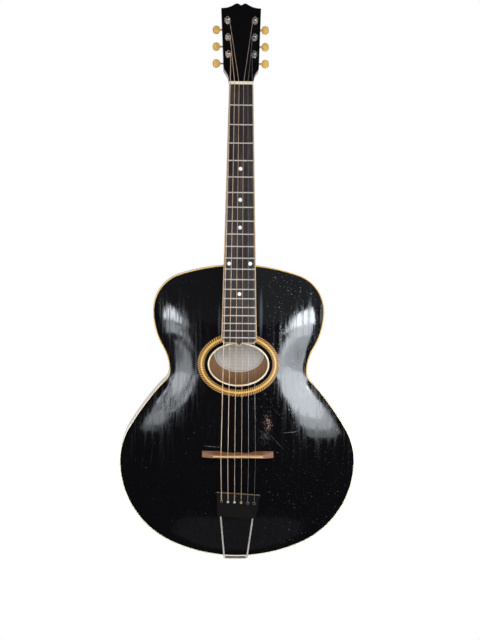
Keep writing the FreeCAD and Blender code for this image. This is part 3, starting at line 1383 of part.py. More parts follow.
nut_slots = []
for count, ((name, thickness, side, pair), frame) in enumerate(zip(STRINGS, post_frames)):
    share = count / 5 - 0.5
    nut_bend = neck_frame.multVec(Vector(dim("nut_spread") * share,
                                         -dim("string_at_nut") - thickness / 2, NUT_BEND))
    saddle_bend = bridge_frame.multVec(Vector(dim("saddle_spread") * share,
                                              crest - thickness / 2 - 2 * glue, 0))
    pin_edge = plate_frame.multVec(Vector(pin_xs[count], plate_face - thickness / 2 - glue,
                                          pin_row + dim("pin_radius") + 2 * glue))
    coil_radius = dim("post_radius") + dim("coil_room") + thickness / 2
    touch, turns = coil_edges(nut_bend, frame, coil_radius, thickness)
    saddle_radius = saddle_half + thickness / 2 + glue
    run = bent_wire([pin_edge, saddle_bend, nut_bend, touch], [saddle_radius, NUT_BEND_RADIUS])
    keep(solid("string_" + name, tube(run + turns, thickness / 2)), "string_" + name)
    gap = least_gap(turns, thickness, 2 * math.pi * coil_radius)
    print(f"string_{name}: turns {int(dim('coil_turns'))}, least gap to itself {gap:.2f} mm")
    slot_width = thickness + SLOT_ROOM
    slot_corner = Vector(-slot_width / 2, thickness / 2 + glue - SLOT_CLEAR, -SLOT_LAP)
    arms = []
    for toward in (saddle_bend, touch):
        along = toward - nut_bend
        sideways = Y_AXIS.cross(along)
        arm = Part.makeBox(slot_width, SLOT_CLEAR, 2 * SLOT_CLEAR, slot_corner)
        arm.Placement = Placement(nut_bend, Rotation(sideways, Vector(), along, "ZXY"))
        arms.append(arm)
    nut_slots.append(arms[0].fuse(arms[1]))

# Nut with a slot for each string
nut_body = new_body("nut_body", neck_frame)
nut_top = -dim("nut_rise")
nut_section = outline([(under_board, 0), (nut_top, 0), (nut_top, NUT_BEND), (nut_top + 1, nut_back),
                       (under_board, nut_back)])
pad(nut_body, draw(nut_body, "nut_section", "YZ_Plane", nut_section), "nut_width", midplane=True)
keep(combine("Cut", "nut", nut_body, solid("nut_slots", Part.makeCompound(nut_slots))), "nut")

# Nothing is written unless every object worked and every sub-part is a sound solid
doc.recompute()
for item in doc.Objects:
    if "Invalid" in item.State or "Error" in item.State:
        raise RuntimeError("failed object: " + item.Name)
for item in parts:
    sound = not item.Shape.isNull() and item.Shape.isValid() and item.Shape.Solids
    if not sound or min(piece.Volume for piece in item.Shape.Solids) <= 0:
        raise RuntimeError("unsound sub-part: " + item.Label)
os.makedirs("parts", exist_ok=True)
for item in parts:
    item.Shape.exportStep(os.path.join("parts", item.Label + ".step"))
print(len(parts), "sub-parts written")
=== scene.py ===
import math

import bpy
from mathutils import Matrix, Vector


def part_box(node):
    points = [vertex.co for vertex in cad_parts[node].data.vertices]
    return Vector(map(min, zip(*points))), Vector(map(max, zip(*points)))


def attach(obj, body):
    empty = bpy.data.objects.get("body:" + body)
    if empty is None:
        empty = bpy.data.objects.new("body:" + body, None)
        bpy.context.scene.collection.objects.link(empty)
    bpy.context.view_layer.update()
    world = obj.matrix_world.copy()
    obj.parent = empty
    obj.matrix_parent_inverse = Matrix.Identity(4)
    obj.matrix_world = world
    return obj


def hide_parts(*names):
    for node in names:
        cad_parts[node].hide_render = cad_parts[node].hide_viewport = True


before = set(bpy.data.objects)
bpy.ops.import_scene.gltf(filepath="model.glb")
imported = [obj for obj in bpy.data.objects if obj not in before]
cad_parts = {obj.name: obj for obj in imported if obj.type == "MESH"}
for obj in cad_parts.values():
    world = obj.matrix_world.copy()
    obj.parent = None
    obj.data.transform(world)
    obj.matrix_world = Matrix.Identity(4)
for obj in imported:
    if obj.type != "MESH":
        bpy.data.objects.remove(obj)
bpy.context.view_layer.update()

bpy.ops.object.select_all(action="DESELECT")


# The carved top: one arched spruce plate, glued to the rim and lacquered black.
# Long use has left hair scratches along the grain, dust in the lacquer, and a patch
# below the sound hole where picks and fingers have gone through to the bare wood.
class Value:
    """One value inside a finish; sums written on it become its nodes."""

    def __init__(self, look, socket):
        self.look = look
        self.socket = socket

    def math(self, operation, first, second):
        return self.look.node("Math", {"operation": operation}, {0: first, 1: second})

    def __add__(self, other):
        return self.math("ADD", self, other)

    def __radd__(self, other):
        return self.math("ADD", other, self)

    def __sub__(self, other):
        return self.math("SUBTRACT", self, other)

    def __rsub__(self, other):
        return self.math("SUBTRACT", other, self)

    def __mul__(self, other):
        return self.math("MULTIPLY", self, other)

    def __rmul__(self, other):
        return self.math("MULTIPLY", other, self)

    def __truediv__(self, other):
        return self.math("DIVIDE", self, other)

    def __rtruediv__(self, other):
        return self.math("DIVIDE", other, self)

    def __pow__(self, other):
        return self.math("POWER", self, other)


class Look:
    """A finish, built node by node on the surface of a material or of the studio's sky."""

    def __init__(self, name, sky=False):
        self.data = bpy.data.worlds.new(name) if sky else bpy.data.materials.new(name)
        self.data.use_nodes = True
        self.tree = self.data.node_tree
        self.surface = self.tree.nodes["Background" if sky else "Principled BSDF"]

    def feed(self, socket, value):
        """Link a value to a socket, or set a plain number or colour on it."""
        if isinstance(value, Value):
            self.tree.links.new(value.socket, socket)
        elif hasattr(value, "__len__") and len(value) == 3 and socket.type == "RGBA":
            socket.default_value = (*value, 1.0)
        else:
            socket.default_value = value

    def node(self, kind, settings, sockets, out=0):
        """Any node: its type, its settings, and the values or links of its sockets."""
        made = self.tree.nodes.new("ShaderNode" + kind)
        for name, value in settings.items():
            if name == "stops":
                stops = made.color_ramp.elements
                while len(stops) < len(value):
                    stops.new(1.0)
                for stop, (place, colour) in zip(stops, value):
                    stop.position = place
                    stop.color = (*colour, 1.0)
            else:
                setattr(made, name, value)
        for name, value in sockets.items():
            self.feed(made.inputs[name], value)
        return Value(self, made.outputs[out])

    def place(self, centre=(0, 0, 0), turn=(0, 0, 0), stretch=(1, 1, 1)):
        """Object coordinates seen from a centre, turned in degrees and divided by a stretch."""
        raw = self.node("TexCoord", {}, {}, out="Object")
        angles = [math.radians(angle) for angle in turn]
        return self.node("Mapping", {"vector_type": "TEXTURE"},
                         {"Vector": raw, "Location": centre, "Rotation": angles, "Scale": stretch})

    def part(self, vector, axis):
        """One coordinate of a vector: X, Y or Z."""
        return self.node("SeparateXYZ", {}, {"Vector": vector}, out=axis)

    def flat(self, vector):
        """A vector with its depth taken away, as the front of the guitar is seen."""
        return self.node("VectorMath", {"operation": "MULTIPLY"}, {0: vector, 1: (1, 0, 1)})

    def length(self, vector):
        return self.node("VectorMath", {"operation": "LENGTH"}, {0: vector}, out="Value")

    def noise(self, vector, scale, detail=3.0, roughness=0.55, distortion=0.0):
        return self.node("TexNoise", {}, {"Vector": vector, "Scale": scale, "Detail": detail,
                                          "Roughness": roughness, "Distortion": distortion})

    def sine(self, value):
        return self.node("Math", {"operation": "SINE"}, {0: value})

    def step(self, value, low, high):
        """0 below low and 1 above high, smooth between; low may be the larger."""
        return self.node("MapRange", {"interpolation_type": "SMOOTHSTEP"},
                         {"Value": value, "From Min": low, "From Max": high})

    def blend(self, mask, first, second):
        """One colour giving way to another."""
        return self.node("Mix", {"data_type": "RGBA"}, {0: mask, 6: first, 7: second}, out=2)

    def ramp(self, value, *stops):
        """A colour read along a row of stops."""
        return self.node("ValToRGB", {"stops": stops}, {0: value})

    def bump(self, height, strength, distance):
        return self.node("Bump", {}, {"Height": height, "Strength": strength, "Distance": distance})

    def painted(self, name):
        """The value that already feeds a socket of the surface."""
        return Value(self, self.surface.inputs[name].links[0].from_socket)

    def paint(self, **sockets):
        """Finish the surface: socket names with underscores for their spaces."""
        for name, value in sockets.items():
            self.feed(self.surface.inputs[name.replace("_", " ")], value)
        return self


def dress(look, *nodes):
    """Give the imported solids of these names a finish."""
    for name in nodes:
        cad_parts[name].material_slots[0].material = look.data


def black_lacquer(name):
    """Black lacquer over straight grain: its look, its colour, roughness and relief so far."""
    look = Look(name)
    grain = look.noise(look.place(stretch=(1, 1, 70)), 620, detail=3)
    ripple = look.noise(look.place(stretch=(1, 1, 9)), 90, detail=2)
    cloud = look.noise(look.place(), 14, detail=3)
    hairs = look.noise(look.place(turn=(0, 7, 0), stretch=(1, 1, 40)), 420, detail=4, roughness=0.7)
    hair = look.step(hairs, 0.64, 0.74)
    strips = look.step(look.noise(look.place(stretch=(1, 1, 60)), 260, detail=2), 0.42, 0.66)
    colour = look.blend(cloud, (0.0009, 0.0009, 0.0018), (0.0024, 0.0020, 0.0024))
    colour = look.blend(hair * 0.3, colour, (0.055, 0.057, 0.062))
    rough = 0.05 + cloud * 0.03 + strips * 0.12 + hair * 0.15
    relief = look.bump(ripple + grain * 0.3, 0.55, 0.00012)
    return look, colour, rough, relief


rim_low, rim_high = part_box("body_bindings")
TAIL = Vector((0.0, rim_low.y, rim_low.z))
top_look, colour, rough, relief = black_lacquer("black_top_lacquer")
flat_spot = top_look.flat(top_look.place(centre=TAIL))
treble = top_look.step(top_look.part(flat_spot, "X"), -0.02, 0.09)
upper = top_look.step(top_look.part(flat_spot, "Z"), 0.16, 0.34)
dusty = 0.10 + treble * (0.16 + upper * 0.60)


def specks(scale, size, turn, stretch):
    """Scattered specks of dirt, round or drawn out."""
    spot = top_look.node("Mapping", {"vector_type": "TEXTURE"},
                         {"Vector": flat_spot, "Rotation": (0, math.radians(turn), 0),
                          "Scale": (1, 1, stretch)})
    away = top_look.node("TexVoronoi", {}, {"Vector": spot, "Scale": scale}, out="Distance")
    return top_look.step(away, size, size * 0.55)


fine_dust = specks(260, 0.19, 10, 1.2) * 0.5
drawn_dust = specks(150, 0.13, -35, 2.2) * 0.8
coarse_dust = specks(55, 0.055, 40, 1.3) * 2.0
dust = (fine_dust + drawn_dust + coarse_dust) * dusty
colour = top_look.blend(dust * 0.55, colour, (0.30, 0.32, 0.37))


def far_from(x, height, wide, high, turn):
    """Distance from a spot on the top, counted in that spot's half sizes."""
    centre = (x, TAIL.y, TAIL.z + height)
    spot = top_look.place(centre=centre, turn=(0, turn, 0), stretch=(wide, 1, high))
    return top_look.length(top_look.flat(spot))


torn = top_look.noise(top_look.place(turn=(0, 12, 0), stretch=(1, 1, 1.7)), 480, detail=4, roughness=0.8)
bare = top_look.step(torn - far_from(0.0510, 0.230, 0.0058, 0.0125, -6) * 0.10, 0.44, 0.51)
colour = top_look.blend(bare * 0.85, colour, (0.27, 0.155, 0.11))
crumb = top_look.noise(top_look.place(turn=(0, -38, 0), stretch=(1, 1, 1.6)), 750, detail=3, roughness=0.7)
chips = top_look.step(crumb - far_from(0.047, 0.206, 0.014, 0.017, 0) * 0.10, 0.53, 0.58)
colour = top_look.blend(chips * 0.3, colour, (0.36, 0.36, 0.38))
# Painted highlight: a pale bluish streak along each side of the fingerboard stands in for the lacquer's
# reflection beside the board.
treble_board_sheen = top_look.step(far_from(0.0375, 0.415, 0.0040, 0.055, 0), 1.0, 0.2)
bass_board_sheen = top_look.step(far_from(-0.0335, 0.402, 0.0032, 0.040, 0), 1.0, 0.2)
board_side_sheen = (treble_board_sheen + bass_board_sheen * 0.6) * (0.3 + torn * 0.7)
colour = top_look.blend(board_side_sheen, colour, (0.085, 0.088, 0.115))
SCRATCHES = ((0.090, 0.214, 0.017, -6, 1.0), (-0.044, 0.189, 0.018, 4, 1.0),
             (0.066, 0.198, 0.020, 48, 0.35), (0.047, 0.206, 0.008, -62, 0.3))
SCRATCH_HALF_WIDTH = 0.0007
scuffs = 0.0
for x, height, half_length, turn, weight in SCRATCHES:
    away = far_from(x, height, half_length, SCRATCH_HALF_WIDTH, turn)
    scuffs = scuffs + top_look.step(away, 1.0, 0.35) * weight
colour = top_look.blend(scuffs * top_look.step(torn, 0.40, 0.62) * 0.6, colour, (0.36, 0.36, 0.36))
top_look.paint(Base_Color=colour, Roughness=rough + bare * 0.4 + dust * 0.3, Normal=relief)
dress(top_look, "top_plate")


# The sound hole's binding and rosette: a cream celluloid lip round the oval hole, then a
# black band, then a yellow ring let into the top between two rings of twisted rope inlay.
def ivoroid(name, pale, deep, speck):
    """Aged celluloid with faint layered lines."""
    look = Look(name)
    layers = look.noise(look.place(stretch=(1, 1, 9)), 900, detail=2)
    stain = look.noise(look.place(), 45, detail=4, roughness=0.65)
    colour = look.blend(look.step(stain, 0.35, 0.68), pale, deep)
    colour = look.blend(look.step(layers, 0.6, 0.8) * 0.35, colour, speck)
    return look.paint(Base_Color=colour, Roughness=0.24 + layers * 0.16, Coat_Weight=0.2,
                      Normal=look.bump(stain, 0.25, 0.0002))


hole_low, hole_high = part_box("soundhole_binding")
HOLE = (hole_low + hole_high) / 2
HOLE_HALF_WIDE = 0.0523
HOLE_HALF_HIGH = 0.0372
CREAM_LIP = 0.0022
hole_look = ivoroid("hole_binding_celluloid", (0.84, 0.74, 0.54), (0.70, 0.54, 0.31), (0.45, 0.30, 0.15))
spot = hole_look.place(centre=HOLE)
over = hole_look.part(spot, "X") / (HOLE_HALF_WIDE + CREAM_LIP)
up = hole_look.part(spot, "Z") / (HOLE_HALF_HIGH + CREAM_LIP)
black_line = hole_look.step(over * over + up * up, 0.985, 1.015)
cream = hole_look.painted("Base Color")
hole_look.paint(Base_Color=hole_look.blend(black_line, cream, (0.004, 0.004, 0.004)))
dress(hole_look, "soundhole_binding")

MIDDLE_RING = 0.011
ROPE_TWISTS = 98
ROPE_SLANT = 900
half_wide = HOLE_HALF_WIDE + MIDDLE_RING
half_high = HOLE_HALF_HIGH + MIDDLE_RING
rosette_look = Look("rosette_inlay_wood")
spot = rosette_look.place(centre=HOLE)
over = rosette_look.part(spot, "X") / half_wide
up = rosette_look.part(spot, "Z") / half_high
reach = (over * over + up * up) ** 0.5
swing = rosette_look.node("Math", {"operation": "ARCTAN2"}, {0: up, 1: over})
pull = (over * over / half_wide + up * up / half_high) / (reach * reach)
outward = (reach - 1) / pull + MIDDLE_RING
in_line = rosette_look.step(outward, 0.0092, 0.0096) - rosette_look.step(outward, 0.0122, 0.0126)
outer_rope = rosette_look.step(outward, 0.0110, 0.0112)
twist = rosette_look.sine(swing * ROPE_TWISTS + outer_rope * 3.1 + outward * ROPE_SLANT)
strand = rosette_look.step(twist, 0.0, 0.5)
fibre = rosette_look.noise(rosette_look.place(), 900, detail=2)
rope = rosette_look.blend(strand, (0.006, 0.002, 0.001), (0.62, 0.31, 0.065))
edge = rosette_look.step(outward, 0.0062, 0.0056) + rosette_look.step(outward, 0.0168, 0.0174)
rope = rosette_look.blend(edge, rope, (0.10, 0.05, 0.018))
line = rosette_look.blend(fibre, (0.68, 0.40, 0.075), (0.78, 0.52, 0.13))
rosette_look.paint(Base_Color=rosette_look.blend(in_line, rope, line), Roughness=0.22 + fibre * 0.15,
                   Coat_Weight=0.3, Normal=rosette_look.bump(strand * (1 - in_line), 0.3, 0.0002))
dress(rosette_look, "rosette_inlay")


# The back: a second carved plate of maple, stained dark red-brown outside and bare inside,
# with an oval paper label, bordered and faintly ruled, glued to it under the sound hole.
def stained_wood(name, along, pale, dark, figure, relief=0.25, coat=0.4):
    """Stained and lacquered wood with grain along an axis and some cross figure."""
    look = Look(name)
    stretch = {"X": (40, 1, 1), "Y": (1, 40, 1), "Z": (1, 1, 40)}[along]
    across = [0.35 if length > 1 else 4 for length in stretch]
    grain = look.noise(look.place(stretch=stretch), 520, detail=4, roughness=0.6)
    curl = look.noise(look.place(stretch=across), 55, detail=2, distortion=0.4)
    cloud = look.noise(look.place(), 9, detail=3)
    shade = grain * 0.55 + curl * figure + cloud * (0.75 - figure)
    colour = look.blend(look.step(shade, 0.42, 0.82), dark, pale)
    pores = look.step(grain, 0.62, 0.75)
    colour = look.blend(pores * 0.5, colour, tuple(channel * 0.35 for channel in dark))
    return look.paint(Base_Color=colour, Roughness=0.2 + grain * 0.14, Coat_Weight=coat,
                      Coat_Roughness=0.12, Normal=look.bump(grain, relief, 0.00008))


back_look = stained_wood("back_red_brown_stain", "Z", (0.17, 0.052, 0.022), (0.050, 0.013, 0.007), 0.35)
facing = back_look.part(back_look.node("TexCoord", {}, {}, out="Normal"), "Y")
inside = back_look.step(facing, 0.1, -0.1)
fibre = back_look.noise(back_look.place(stretch=(1, 1, 25)), 300, detail=4)
maple = back_look.blend(fibre, (0.56, 0.30, 0.15), (0.38, 0.18, 0.08))
stain = back_look.painted("Base Color")
back_look.paint(Base_Color=back_look.blend(inside, stain, maple), Coat_Weight=0.4 * (1 - inside))
dress(back_look, "back_plate")

RULES = 1150
label_low, label_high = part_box("paper_label")
label_half = (label_high - label_low) / 2
label_look = Look("aged_label_paper")
spot = label_look.place(centre=(label_low + label_high) / 2)
height = label_look.part(spot, "Z")
over = label_look.part(spot, "X") / label_half.x
up = height / label_half.z
ring = (over * over + up * up) ** 0.5
border = label_look.step(ring, 0.895, 0.905) - label_look.step(ring, 0.925, 0.935)
ruled = label_look.step(label_look.sine(height * RULES), 0.86, 0.97) * label_look.step(ring, 0.84, 0.78)
foxing = label_look.noise(label_look.place(), 130, detail=5, roughness=0.7)
fibre = label_look.noise(label_look.place(), 1500, detail=2)
ink = (border * 0.65 + ruled * 0.55) * label_look.step(fibre, 0.35, 0.6)
colour = label_look.blend(foxing, (0.97, 0.93, 0.88), (0.86, 0.80, 0.74))
colour = label_look.blend(label_look.step(foxing, 0.62, 0.75) * 0.5, colour, (0.42, 0.30, 0.18))
colour = label_look.blend(ink, colour, (0.16, 0.14, 0.13))
label_look.paint(Base_Color=colour, Roughness=0.85, Specular_IOR_Level=0.2,
                 Normal=label_look.bump(fibre, 0.4, 0.0001))
dress(label_look, "paper_label")


# The bindings round both plates: strips of celluloid bent round the edge and scraped flush.
# They have gone amber where they were touched least and stay cream round the lower bouts.
edge_look = Look("body_binding_celluloid")
height = edge_look.part(edge_look.place(centre=TAIL), "Z")
age = edge_look.noise(edge_look.place(), 22, detail=3)
gold = edge_look.step(height + age * 0.12, 0.26, 0.40)
colour = edge_look.blend(gold, (0.90, 0.83, 0.68), (0.66, 0.40, 0.11))
lines = edge_look.noise(edge_look.place(stretch=(9, 1, 9)), 800, detail=2)
colour = edge_look.blend(edge_look.step(lines, 0.58, 0.75) * 0.4, colour, (0.46, 0.27, 0.09))
edge_look.paint(Base_Color=colour, Roughness=0.25 + age * 0.15, Coat_Weight=0.2,
                Normal=edge_look.bump(age, 0.2, 0.0002))
dress(edge_look, "body_bindings")


# The ribs: two thin maple sides, bent to the outline over a hot iron, glued between the
# plates and meeting at the neck and tail blocks. They are stained like the back.
rib_look = stained_wood("rib_red_brown_stain", "X", (0.19, 0.060, 0.026), (0.060, 0.017, 0.009), 0.4,
                        relief=0.08, coat=0.3)
dress(rib_look, "left_rib", "right_rib")


# Inside the body: blocks that take the neck and the tailpiece, linings that widen the ribs'
# gluing edges, and a brace across the top. All are bare spruce, browned by dust.
spruce_look = Look("bare_inner_spruce")
rings = spruce_look.noise(spruce_look.place(stretch=(1, 1, 30)), 330, detail=3)
soil = spruce_look.noise(spruce_look.place(), 25, detail=4)
colour = spruce_look.blend(rings, (0.52, 0.32, 0.18), (0.36, 0.20, 0.10))
colour = spruce_look.blend(spruce_look.step(soil, 0.45, 0.75) * 0.6, colour, (0.11, 0.055, 0.028))
spruce_look.paint(Base_Color=colour, Roughness=0.75, Normal=spruce_look.bump(rings, 0.4, 0.0003))
dress(spruce_look, "neck_block", "tail_block", "linings", "transverse_brace")


# The neck: shaft, heel and peghead carved from one billet and glued into the neck block,
# then stained to match the ribs.
neck_look = stained_wood("neck_red_brown_stain", "Z", (0.15, 0.046, 0.021), (0.045, 0.013, 0.008), 0.2)
dress(neck_look, "neck")


# The peghead's face: a thin veneer glued over the front of the peghead and trimmed to its
# outline, with the same black lacquer as the top.
veneer_look, colour, rough, relief = black_lacquer("black_peghead_lacquer")
veneer_look.paint(Base_Color=colour, Roughness=rough + 0.06, Normal=relief, Coat_Weight=0.2,
                  Coat_Roughness=0.12)
dress(veneer_look, "peghead_veneer")


# The fingerboard: dark streaked ebony, oiled by playing, bound in celluloid, with a riser
# of the same wood under its free end.
ebony_look = Look("streaked_ebony")
along_board = ebony_look.place(turn=(-3.5, 0, 0), stretch=(1, 1, 26))
streak = ebony_look.noise(along_board, 210, detail=5, roughness=0.65)
pore = ebony_look.noise(ebony_look.place(stretch=(1, 1, 18)), 1300, detail=2)
worn = ebony_look.noise(ebony_look.place(stretch=(1, 1, 2)), 60, detail=3)
colour = ebony_look.ramp(streak, (0.30, (0.011, 0.008, 0.008)), (0.52, (0.028, 0.022, 0.022)),
                         (0.72, (0.070, 0.056, 0.052)))
colour = ebony_look.blend(ebony_look.step(pore, 0.58, 0.7) * 0.6, colour, (0.012, 0.009, 0.009))
colour = ebony_look.blend(ebony_look.step(worn, 0.5, 0.75) * 0.25, colour, (0.12, 0.10, 0.095))
ebony_look.paint(Base_Color=colour, Roughness=0.36 + pore * 0.2, Normal=ebony_look.bump(pore, 0.35, 0.0001))
dress(ebony_look, "fingerboard", "fingerboard_riser")
board_edge_look = ivoroid("board_binding_celluloid", (0.54, 0.40, 0.25), (0.42, 0.28, 0.15),
                          (0.26, 0.15, 0.07))
dress(board_edge_look, "fingerboard_binding")


# Frets and dots: nickel-silver wire hammered into slots sawn across the board and filed
# level, and discs of pearl glued into drilled pockets.
def worn_metal(name, bright, dull, rough):
    """Plated metal with cloudy tarnish and fine rubbing."""
    look = Look(name)
    tarnish = look.noise(look.place(), 160, detail=4, roughness=0.65)
    rub = look.noise(look.place(stretch=(8, 1, 1)), 1500, detail=2)
    colour = look.blend(look.step(tarnish, 0.40, 0.72), bright, dull)
    return look.paint(Base_Color=colour, Metallic=1.0, Roughness=rough + tarnish * 0.16 + rub * 0.06,
                      Normal=look.bump(rub, 0.15, 0.00005))


fret_look = worn_metal("fret_nickel_silver", (0.80, 0.77, 0.68), (0.60, 0.56, 0.47), 0.30)
fret_look.paint(Metallic=0.35)
dress(fret_look, "frets")

pearl_look = Look("pearl_dots")
sheen = pearl_look.noise(pearl_look.place(), 420, detail=3, distortion=1.2)
colour = pearl_look.ramp(sheen, (0.35, (0.88, 0.86, 0.83)), (0.5, (0.96, 0.95, 0.93)),
                         (0.65, (0.84, 0.88, 0.89)))
pearl_look.paint(Base_Color=colour, Roughness=0.22 + sheen * 0.12, Coat_Weight=0.4)
dress(pearl_look, "position_dots")


# The nut and saddle: strips of bone. The nut is glued against the board's end and slotted
# for the strings; the saddle is let into the bridge and rounded under them.
bone_look = Look("polished_bone")
vein = bone_look.noise(bone_look.place(stretch=(6, 1, 1)), 500, detail=4, roughness=0.6)
soil = bone_look.noise(bone_look.place(), 120, detail=3)
colour = bone_look.blend(vein, (0.98, 0.92, 0.74), (0.90, 0.80, 0.58))
colour = bone_look.blend(bone_look.step(soil, 0.52, 0.75) * 0.5, colour, (0.50, 0.35, 0.19))
bone_look.paint(Base_Color=colour, Roughness=0.3 + vein * 0.15, Coat_Weight=0.15)
dress(bone_look, "nut")
saddle_look = ivoroid("amber_saddle_bone", (0.78, 0.56, 0.30), (0.62, 0.38, 0.16), (0.36, 0.20, 0.08))
dress(saddle_look, "bridge_saddle")


# The bridge: one piece of rosewood standing on two feet fitted to the arch, held down by
# the strings alone. Its thin wings have worn paler than its middle.
WING_START = 0.040
WING_FULL = 0.046
rosewood_look = Look("bridge_rosewood")
streak = rosewood_look.noise(rosewood_look.place(stretch=(22, 1, 1)), 260, detail=5, roughness=0.65)
pore = rosewood_look.noise(rosewood_look.place(stretch=(14, 1, 1)), 1400, detail=2)
colour = rosewood_look.ramp(streak, (0.32, (0.15, 0.058, 0.026)), (0.52, (0.29, 0.128, 0.058)),
                            (0.70, (0.40, 0.20, 0.10)))
colour = rosewood_look.blend(rosewood_look.step(pore, 0.58, 0.7) * 0.5, colour, (0.06, 0.02, 0.01))
out = rosewood_look.part(rosewood_look.place(), "X")
wing = rosewood_look.step(out * out, WING_START ** 2, WING_FULL ** 2)
colour = rosewood_look.blend(wing * 0.6, colour, (0.40, 0.23, 0.16))
rosewood_look.paint(Base_Color=colour, Roughness=0.42 + pore * 0.2,
                    Normal=rosewood_look.bump(pore, 0.4, 0.0002))
dress(rosewood_look, "bridge")


# The trapeze tailpiece: a dark celluloid plate with string pins, hung on a bent wire frame
# that swings in a sheet-metal bracket screwed to the tail. The pull of the strings holds the
# plate in the plane from the hinge to just behind the saddle's crest, leaning to one side.
nickel_look = worn_metal("tarnished_nickel", (0.74, 0.72, 0.68), (0.44, 0.41, 0.36), 0.18)
dress(nickel_look, "tailpiece_bracket", "bracket_screws")
frame_look = worn_metal("dulled_frame_wire", (0.74, 0.72, 0.68), (0.56, 0.53, 0.47), 0.30)
frame_look.paint(Metallic=0.45)
dress(frame_look, "tailpiece_frame")

saddle_low, saddle_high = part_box("bridge_saddle")
CREST = Vector((0.0, saddle_low.y, (saddle_low.z + saddle_high.z) / 2))
HINGE = TAIL + Vector((-0.0011, -0.0012, -0.0025))
BEHIND_CREST = 0.0028
PLATE_LEAN = 3.6
PLATE_HALF_HIGH = 0.0213
PLATE_ASIDE = 0.0015
PLATE_FROM_HINGE = 0.0943
string_pull = CREST - HINGE
tail_axes = Matrix.Rotation(math.atan2(-string_pull.y - BEHIND_CREST, string_pull.z), 3, "X")
plate_axes = tail_axes @ Matrix.Rotation(math.radians(PLATE_LEAN), 3, "Y")
plate_middle = HINGE + tail_axes @ Vector((PLATE_ASIDE, 0, PLATE_FROM_HINGE))
plate_turn = [math.degrees(angle) for angle in plate_axes.to_euler()]
plate_look = Look("tailpiece_celluloid")
up = plate_look.part(plate_look.place(centre=plate_middle, turn=plate_turn), "Z")
swirl = plate_look.noise(plate_look.place(), 40, detail=4, distortion=0.8)
colour = plate_look.blend(swirl, (0.0020, 0.0017, 0.0017), (0.0070, 0.0045, 0.0034))
# A tan line along the plate's top edge: partly the tan layer under the black face, partly a painted
# highlight along that edge.
tan_edge_and_highlight = plate_look.step(up, PLATE_HALF_HIGH - 0.0009, PLATE_HALF_HIGH - 0.0005)
colour = plate_look.blend(tan_edge_and_highlight, colour, (0.17, 0.115, 0.075))
plate_look.paint(Base_Color=colour, Roughness=0.2 + swirl * 0.12 + tan_edge_and_highlight * 0.2, Coat_Weight=0.3)
dress(plate_look, "tailpiece_plate")

PIN_SPACING = 0.0112
PIN_ROW = 0.0068
PIN_DOT = 0.0015
PIN_RIM = 0.0019
pin_look = Look("black_pins_with_dots")
spot = pin_look.place(centre=plate_middle, turn=plate_turn)
count = pin_look.part(spot, "X") / PIN_SPACING + 3
order = pin_look.node("Math", {"operation": "FLOOR"}, {0: count})
over = (count - order - 0.5) * PIN_SPACING
up = pin_look.part(spot, "Z") - PIN_ROW
off_centre = (over * over + up * up) ** 0.5
dot = pin_look.step(off_centre, PIN_DOT + 0.0001, PIN_DOT - 0.0001)
rim = pin_look.step(off_centre, PIN_RIM, PIN_RIM + 0.0003) * 0.35
shell = pin_look.noise(pin_look.place(), 900, detail=3, distortion=1.0)
nacre = pin_look.blend(shell, (0.95, 0.95, 0.96), (0.80, 0.81, 0.82))
pale = pin_look.step(order, 0.4, 0.6) - pin_look.step(order, 3.4, 3.6)
yellowed = pin_look.step(order, 2.4, 2.6)
nacre = pin_look.blend(yellowed, nacre, (0.52, 0.40, 0.13))
soot = pin_look.blend(shell, (0.008, 0.008, 0.008), (0.030, 0.028, 0.026))
colour = pin_look.blend(dot * pale, pin_look.blend(rim, soot, (0.30, 0.29, 0.27)), nacre)
pin_look.paint(Base_Color=colour, Roughness=0.2 + shell * 0.15, Coat_Weight=0.3)
dress(pin_look, "tailpiece_pins")


# The tuners: two nickel plates screwed behind the peghead, each with three worms and gears.
# A pressed celluloid button turns each worm, and its gear turns the post that the string is
# wound on; the posts come through bushings and end in domed tips.
STRING_NAMES = ("low_e", "a", "d", "g", "b", "high_e")
HEAD_TILT = Matrix.Rotation(math.radians(-17.5), 3, "X")
POST_FROM_WORM = Vector((0, -0.0204, 0.008))
BUTTON_HALF = Vector((0.0065, 0.0040, 0.0080))
BUTTON_ROUNDNESS = 0.86
COLLAR_RADIUS = 0.0023
COLLAR_LENGTH = 0.0045
COLLAR_SUNK = 0.0008
TIP_RADIUS = 0.00285
TIP_FLATNESS = 0.45
TIP_LEVEL = -0.0136
dress(nickel_look, "tuner_bushings", "tuner_plates", "tuner_plate_screws")
brass_look = worn_metal("gear_brass", (0.72, 0.55, 0.27), (0.42, 0.30, 0.13), 0.26)
post_look = worn_metal("polished_post_nickel", (0.90, 0.88, 0.84), (0.66, 0.62, 0.56), 0.10)
button_look = Look("amber_buttons")
cloud = button_look.noise(button_look.place(), 210, detail=4, distortion=0.6)
grain = button_look.noise(button_look.place(stretch=(1, 1, 5)), 900, detail=2)
colour = button_look.ramp(cloud, (0.32, (0.78, 0.45, 0.10)), (0.55, (0.90, 0.58, 0.16)),
                          (0.72, (0.95, 0.70, 0.27)))
colour = button_look.blend(button_look.step(grain, 0.58, 0.78) * 0.3, colour, (0.50, 0.26, 0.06))
button_look.paint(Base_Color=colour, Roughness=0.26 + grain * 0.12, Coat_Weight=0.3)

button_places = {}
post_places = {}
for name in STRING_NAMES:
    button_low, button_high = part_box("button_" + name)
    post_low, post_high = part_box("post_" + name)
    middle = (button_low + button_high) / 2
    middle.x = button_low.x + BUTTON_HALF.x if middle.x < 0 else button_high.x - BUTTON_HALF.x
    post = middle + HEAD_TILT @ POST_FROM_WORM
    post.x = (post_low.x + post_high.x) / 2
    button_places[name] = middle
    post_places[name] = post


